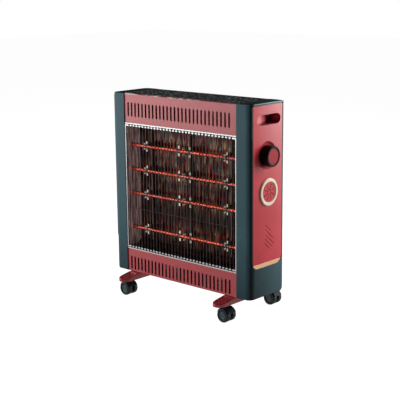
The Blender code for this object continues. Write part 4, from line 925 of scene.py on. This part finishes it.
# %% Rear corner strips
strip_heights = [(FOOT_ROUND * (1 - cos(radians(turn))), sin(radians(turn)))
                 for turn in FOOT_TURNS]
strip_heights += [(RECESS_LOW + rise, 1.0)
                  for rise in (-RECESS_MARGIN, 2.0, 6.0, 12.0, RECESS_ROUND)]
strip_heights += [(height, 1.0) for height in (RECESS_HIGH - 0.2, RECESS_HIGH, CAP_HEIGHT - 0.8)]
for name, side in (("left", -1), ("right", 1)):
    shape = bmesh.new()
    rings = [strip_ring(shape, height, fullness, side) for height, fullness in strip_heights]
    for ring, above in zip(rings, rings[1:]):
        for step in range(len(ring)):
            after = (step + 1) % len(ring)
            shape.faces.new((ring[step], ring[after], above[after], above[step]))
    shape.faces.new(rings[0])
    shape.faces.new(rings[-1])
    add_piece("rear_corner_" + name, shape, SLATE, "heater", smooth=30.0)
print("rings of a corner strip:", len(strip_heights))

# %% [markdown]
# ## Tube clips
# Beside each rack a thin band with two upright ears grips every tube, so that it can't rattle out
# of its slot. The middle rack has one on either side. The ears carry a painted glow, which makes
# them the brightest things behind the guard after the coils.

# %% Helper for clips
CLIP_WIDTH = 5.0
CLIP_THICK = 0.4
CLIP_GAP = 0.4
CLIP_SIDES = 32
EAR_REACH = 9.0
EAR_THICK = 0.8
EAR_FORWARD = 1.0
EAR_SINK = 0.2


def add_ears(shape, centre, start):
    """Two upright tabs, one above and one below the band."""
    for way in (-1, 1):
        made = bmesh.ops.create_cube(shape, size=1.0)["verts"]
        middle = centre + Vector((0.0, -EAR_FORWARD, way * (start + EAR_REACH / 2))) * MM
        for vert in made:
            size = Vector((vert.co.x * CLIP_WIDTH, vert.co.y * EAR_THICK, vert.co.z * EAR_REACH))
            vert.co = middle + size * MM


def add_clip(name, number, beside):
    low, high = (Vector(corner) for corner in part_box("quartz_tube_%d" % number))
    centre = Vector((beside, (low.y + high.y) / 2, (low.z + high.z) / 2))
    inner = (high.z - low.z) / 2 / MM + CLIP_GAP
    outer = inner + CLIP_THICK
    half = CLIP_WIDTH / 2
    shape = bmesh.new()
    lathe(shape, [(inner, -half), (outer, -half), (outer, half), (inner, half)], CLIP_SIDES,
          centre, (1, 0, 0))
    add_ears(shape, centre, outer - EAR_SINK)
    add_piece(name, shape, CLIP_STEATITE, "heater")


# %% Tube clips
MIDDLE_CLIP = 21.0
clip_count = 0
for rack in ("left", "middle", "right"):
    low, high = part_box("tube_rack_" + rack)
    if rack == "middle":
        places = [(low[0] + high[0]) / 2 + step * MM for step in (-MIDDLE_CLIP, MIDDLE_CLIP)]
    else:
        places = [high[0] + (CLIP_WIDTH / 2 + CLIP_GAP) * MM]
    for number in TUBES:
        for beside in places:
            add_clip("tube_clip_%d" % clip_count, number, beside)
            clip_count += 1
print("tube clips:", clip_count)

# %% [markdown]
# ## Screws
# The rear panel is held by six pan-head screws. Their recess is too small to show its form, so
# each is a turned head with a sunken middle.

# %% Screws
SCREW_RADIUS = 3.4
SCREW_SIDES = 16
SCREW_PROFILE = [(0, -0.2), (1.0, -0.2), (1.0, 0.5), (0.86, 1.3), (0.55, 1.8), (0.3, 1.9),
                 (0.22, 0.9), (0, 0.8)]
SCREW_COLUMNS = (-205.0, 205.0)
SCREW_ROWS = (24.0, 268.0, 512.0)
rear_y = (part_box("rear_panel")[1][1] - CASING.y) / MM
screw_count = 0
for x in SCREW_COLUMNS:
    for z in SCREW_ROWS:
        shape = bmesh.new()
        profile = [(SCREW_RADIUS * share, height) for share, height in SCREW_PROFILE]
        lathe(shape, profile, SCREW_SIDES, at(x, rear_y, z), (0, 1, 0))
        add_piece("rear_screw_%d" % screw_count, shape, ZINC, "heater")
        screw_count += 1
print("screws on the rear panel:", screw_count)

# %% [markdown]
# ## Wheels
# The solid of a wheel has few sides, because only its size matters there. The real tread is
# round, so each wheel is turned again here with many more sides and stands for its solid: a
# rounded shoulder, a slightly dished side and a bore that clears the axle.

# %% Wheels turned finely
WHEEL_SIDES = 64
WHEEL_BORE = 2.8
for caster in CASTERS:
    for place, way in (("front", -1), ("rear", 1)):
        node = "caster_%s_wheel_%s" % (caster, place)
        low, high = (Vector(corner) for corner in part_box(node))
        middle = (low + high) / 2
        half = (high.y - low.y) / 2 / MM
        axle_low, axle_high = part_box("caster_%s_axle" % caster)
        tread = (axle_low[2] + axle_high[2]) / 2 / MM - low.z / MM
        shape = bmesh.new()
        lathe(shape, [(WHEEL_BORE, -half), (tread - 1.2, -half), (tread - 0.3, -half + 0.4),
                      (tread, -half + 1.4), (tread, half - 2.6), (tread - 0.7, half - 0.9),
                      (tread - 2.2, half), (tread - 6.4, half), (tread - 7.0, half - 0.5),
                      (tread - 7.6, half - 1.5), (WHEEL_BORE, half - 1.5)], WHEEL_SIDES,
              Vector((middle.x, middle.y, low.z + tread * MM)), (0, way, 0))
        wheel = add_piece("wheel_%s_%s" % (caster, place), shape, TREAD,
                          "caster_%s_wheels" % caster)
        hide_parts(node)
print("wheel radius, mm:", round(tread, 2))

# %% [markdown]
# ## Hub discs of the casters
# Each wheel carries a lighter grey disc pressed into its side: a shallow dome with a raised rim.
# It turns with the wheel, so it rides on the wheel's body.

# %% Hub discs
HUB_SIDES = 24
HUB_PROFILE = [(0, -1.4), (10.6, -1.4), (10.6, -0.5), (9.8, -0.2), (8.6, -0.2), (7.8, -0.8),
               (4.0, -0.5), (0, -0.4)]
HUB_GREY = moulded("hub_grey", colour(46, 68, 76), colour(60, 82, 90), colour(126, 146, 152),
                   (0.3, 0.45), dust=0.03)
for caster in CASTERS:
    for place, way in (("front", -1), ("rear", 1)):
        low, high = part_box("caster_%s_wheel_%s" % (caster, place))
        centre = Vector(((low[0] + high[0]) / 2, high[1] if way > 0 else low[1],
                         (low[2] + high[2]) / 2))
        shape = bmesh.new()
        lathe(shape, HUB_PROFILE, HUB_SIDES, centre, (0, way, 0))
        add_piece("hub_%s_%s" % (caster, place), shape, HUB_GREY, "caster_%s_wheels" % caster)
print("hub radius, mm:", max(radius for radius, height in HUB_PROFILE))

# %% [markdown]
# ## Studio
# The heater was photographed on white, between two large soft boxes: one at the left front,
# which lights the front and lays a sheen on its paint, and one at the right rear, which lights
# the end. Neither reaches the rounded corner that faces the lens, so that corner stays dark. The
# floor and the surround show white to the camera and greyer to gloss and through glass. They
# light the heater only a little, and the floor still takes a soft shadow. The reach of the floor
# and the sizes of the boxes are in metres.

# %% Levels of light
FLOOR_LIFT = 0.96
GLOSS_LIFT = 0.5
WORLD_LEVEL = 0.07
WORLD_GLOSS = 0.05
THROUGH_GLASS = 0.2
FRONT_POWER = 41.0
END_POWER = 95.0

# %% Floor
FLOOR_REACH = 12.0
floor_shape = bmesh.new()
bmesh.ops.create_grid(floor_shape, x_segments=1, y_segments=1, size=FLOOR_REACH)
floor_mesh = bpy.data.meshes.new("studio_floor")
floor_shape.to_mesh(floor_mesh)
floor_shape.free()
floor = bpy.data.objects.new("studio_floor", floor_mesh)
floor.location.z = CAD_BOX[0][2]
bpy.context.collection.objects.link(floor)
print("floor's height, m:", round(floor.location.z, 4))

# %% [markdown]
# The floor's paper is a plain grey that takes the shadow, with a light of its own added to it
# that only the camera, gloss and glass can see.

# %% Floor's paper
PAPER, net, shader = start_finish("studio_paper")
paper_grain = place_group(net, GRAIN, {"Size": 3.0, "Cloud Size": 900.0})
net.fill(shader.inputs["Base Color"],
         net.mix(paper_grain["Cloud"], colour(150, 150, 150), colour(156, 156, 156)))
shader.inputs["Roughness"].default_value = 0.9
shader.inputs["Specular IOR Level"].default_value = 0.0
path = net.node("LightPath").outputs
for_camera = net.math("MULTIPLY", path["Is Camera Ray"], FLOOR_LIFT)
for_gloss = net.math("MULTIPLY", path["Is Glossy Ray"], GLOSS_LIFT)
for_glass = net.math("MULTIPLY", path["Is Transmission Ray"], THROUGH_GLASS)
strength = net.math("ADD", for_camera, net.math("ADD", for_gloss, for_glass))
lift = net.node("Emission", {"Color": WHITE, "Strength": strength})
both = net.node("AddShader", {0: shader.outputs[0], 1: lift.outputs[0]})
net.fill(net.tree.nodes["Material Output"].inputs["Surface"], both.outputs[0])
floor_mesh.materials.append(PAPER)
show_finishes(PAPER)

# %% Surround
world = bpy.data.worlds.new("studio")
bpy.context.scene.world = world
world.use_nodes = True
net = Net(world.node_tree)
backdrop = world.node_tree.nodes["Background"]
backdrop.inputs["Color"].default_value = WHITE
path = net.node("LightPath").outputs
through = net.math("MULTIPLY", path["Is Transmission Ray"], THROUGH_GLASS)
seen = net.math("MAXIMUM", path["Is Camera Ray"], through)
glossy = net.math("MULTIPLY", path["Is Glossy Ray"], WORLD_GLOSS - WORLD_LEVEL)
level = net.math("ADD", net.span(seen, 0.0, 1.0, WORLD_LEVEL, 1.0), glossy)
net.fill(backdrop.inputs["Strength"], level)
print("surround's light on the heater:", WORLD_LEVEL)


# %% Soft boxes
AIM = (0.0, 0.0, 260.0)


def add_soft_box(name, place, width, height, power):
    data = bpy.data.lights.new(name, "AREA")
    data.shape = "RECTANGLE"
    data.size = width
    data.size_y = height
    data.energy = power
    lamp = bpy.data.objects.new(name, data)
    bpy.context.collection.objects.link(lamp)
    lamp.location = at(*place)
    lamp.rotation_euler = (at(*AIM) - lamp.location).to_track_quat("-Z", "Y").to_euler()
    print(name, "radiance:", round(power / (pi * width * height), 2))


add_soft_box("front_box", (-1850.0, -1500.0, 560.0), 2.2, 1.5, FRONT_POWER)
add_soft_box("end_box", (1250.0, 2150.0, 1050.0), 1.6, 2.0, END_POWER)
bpy.context.scene.view_settings.view_transform = "Standard"
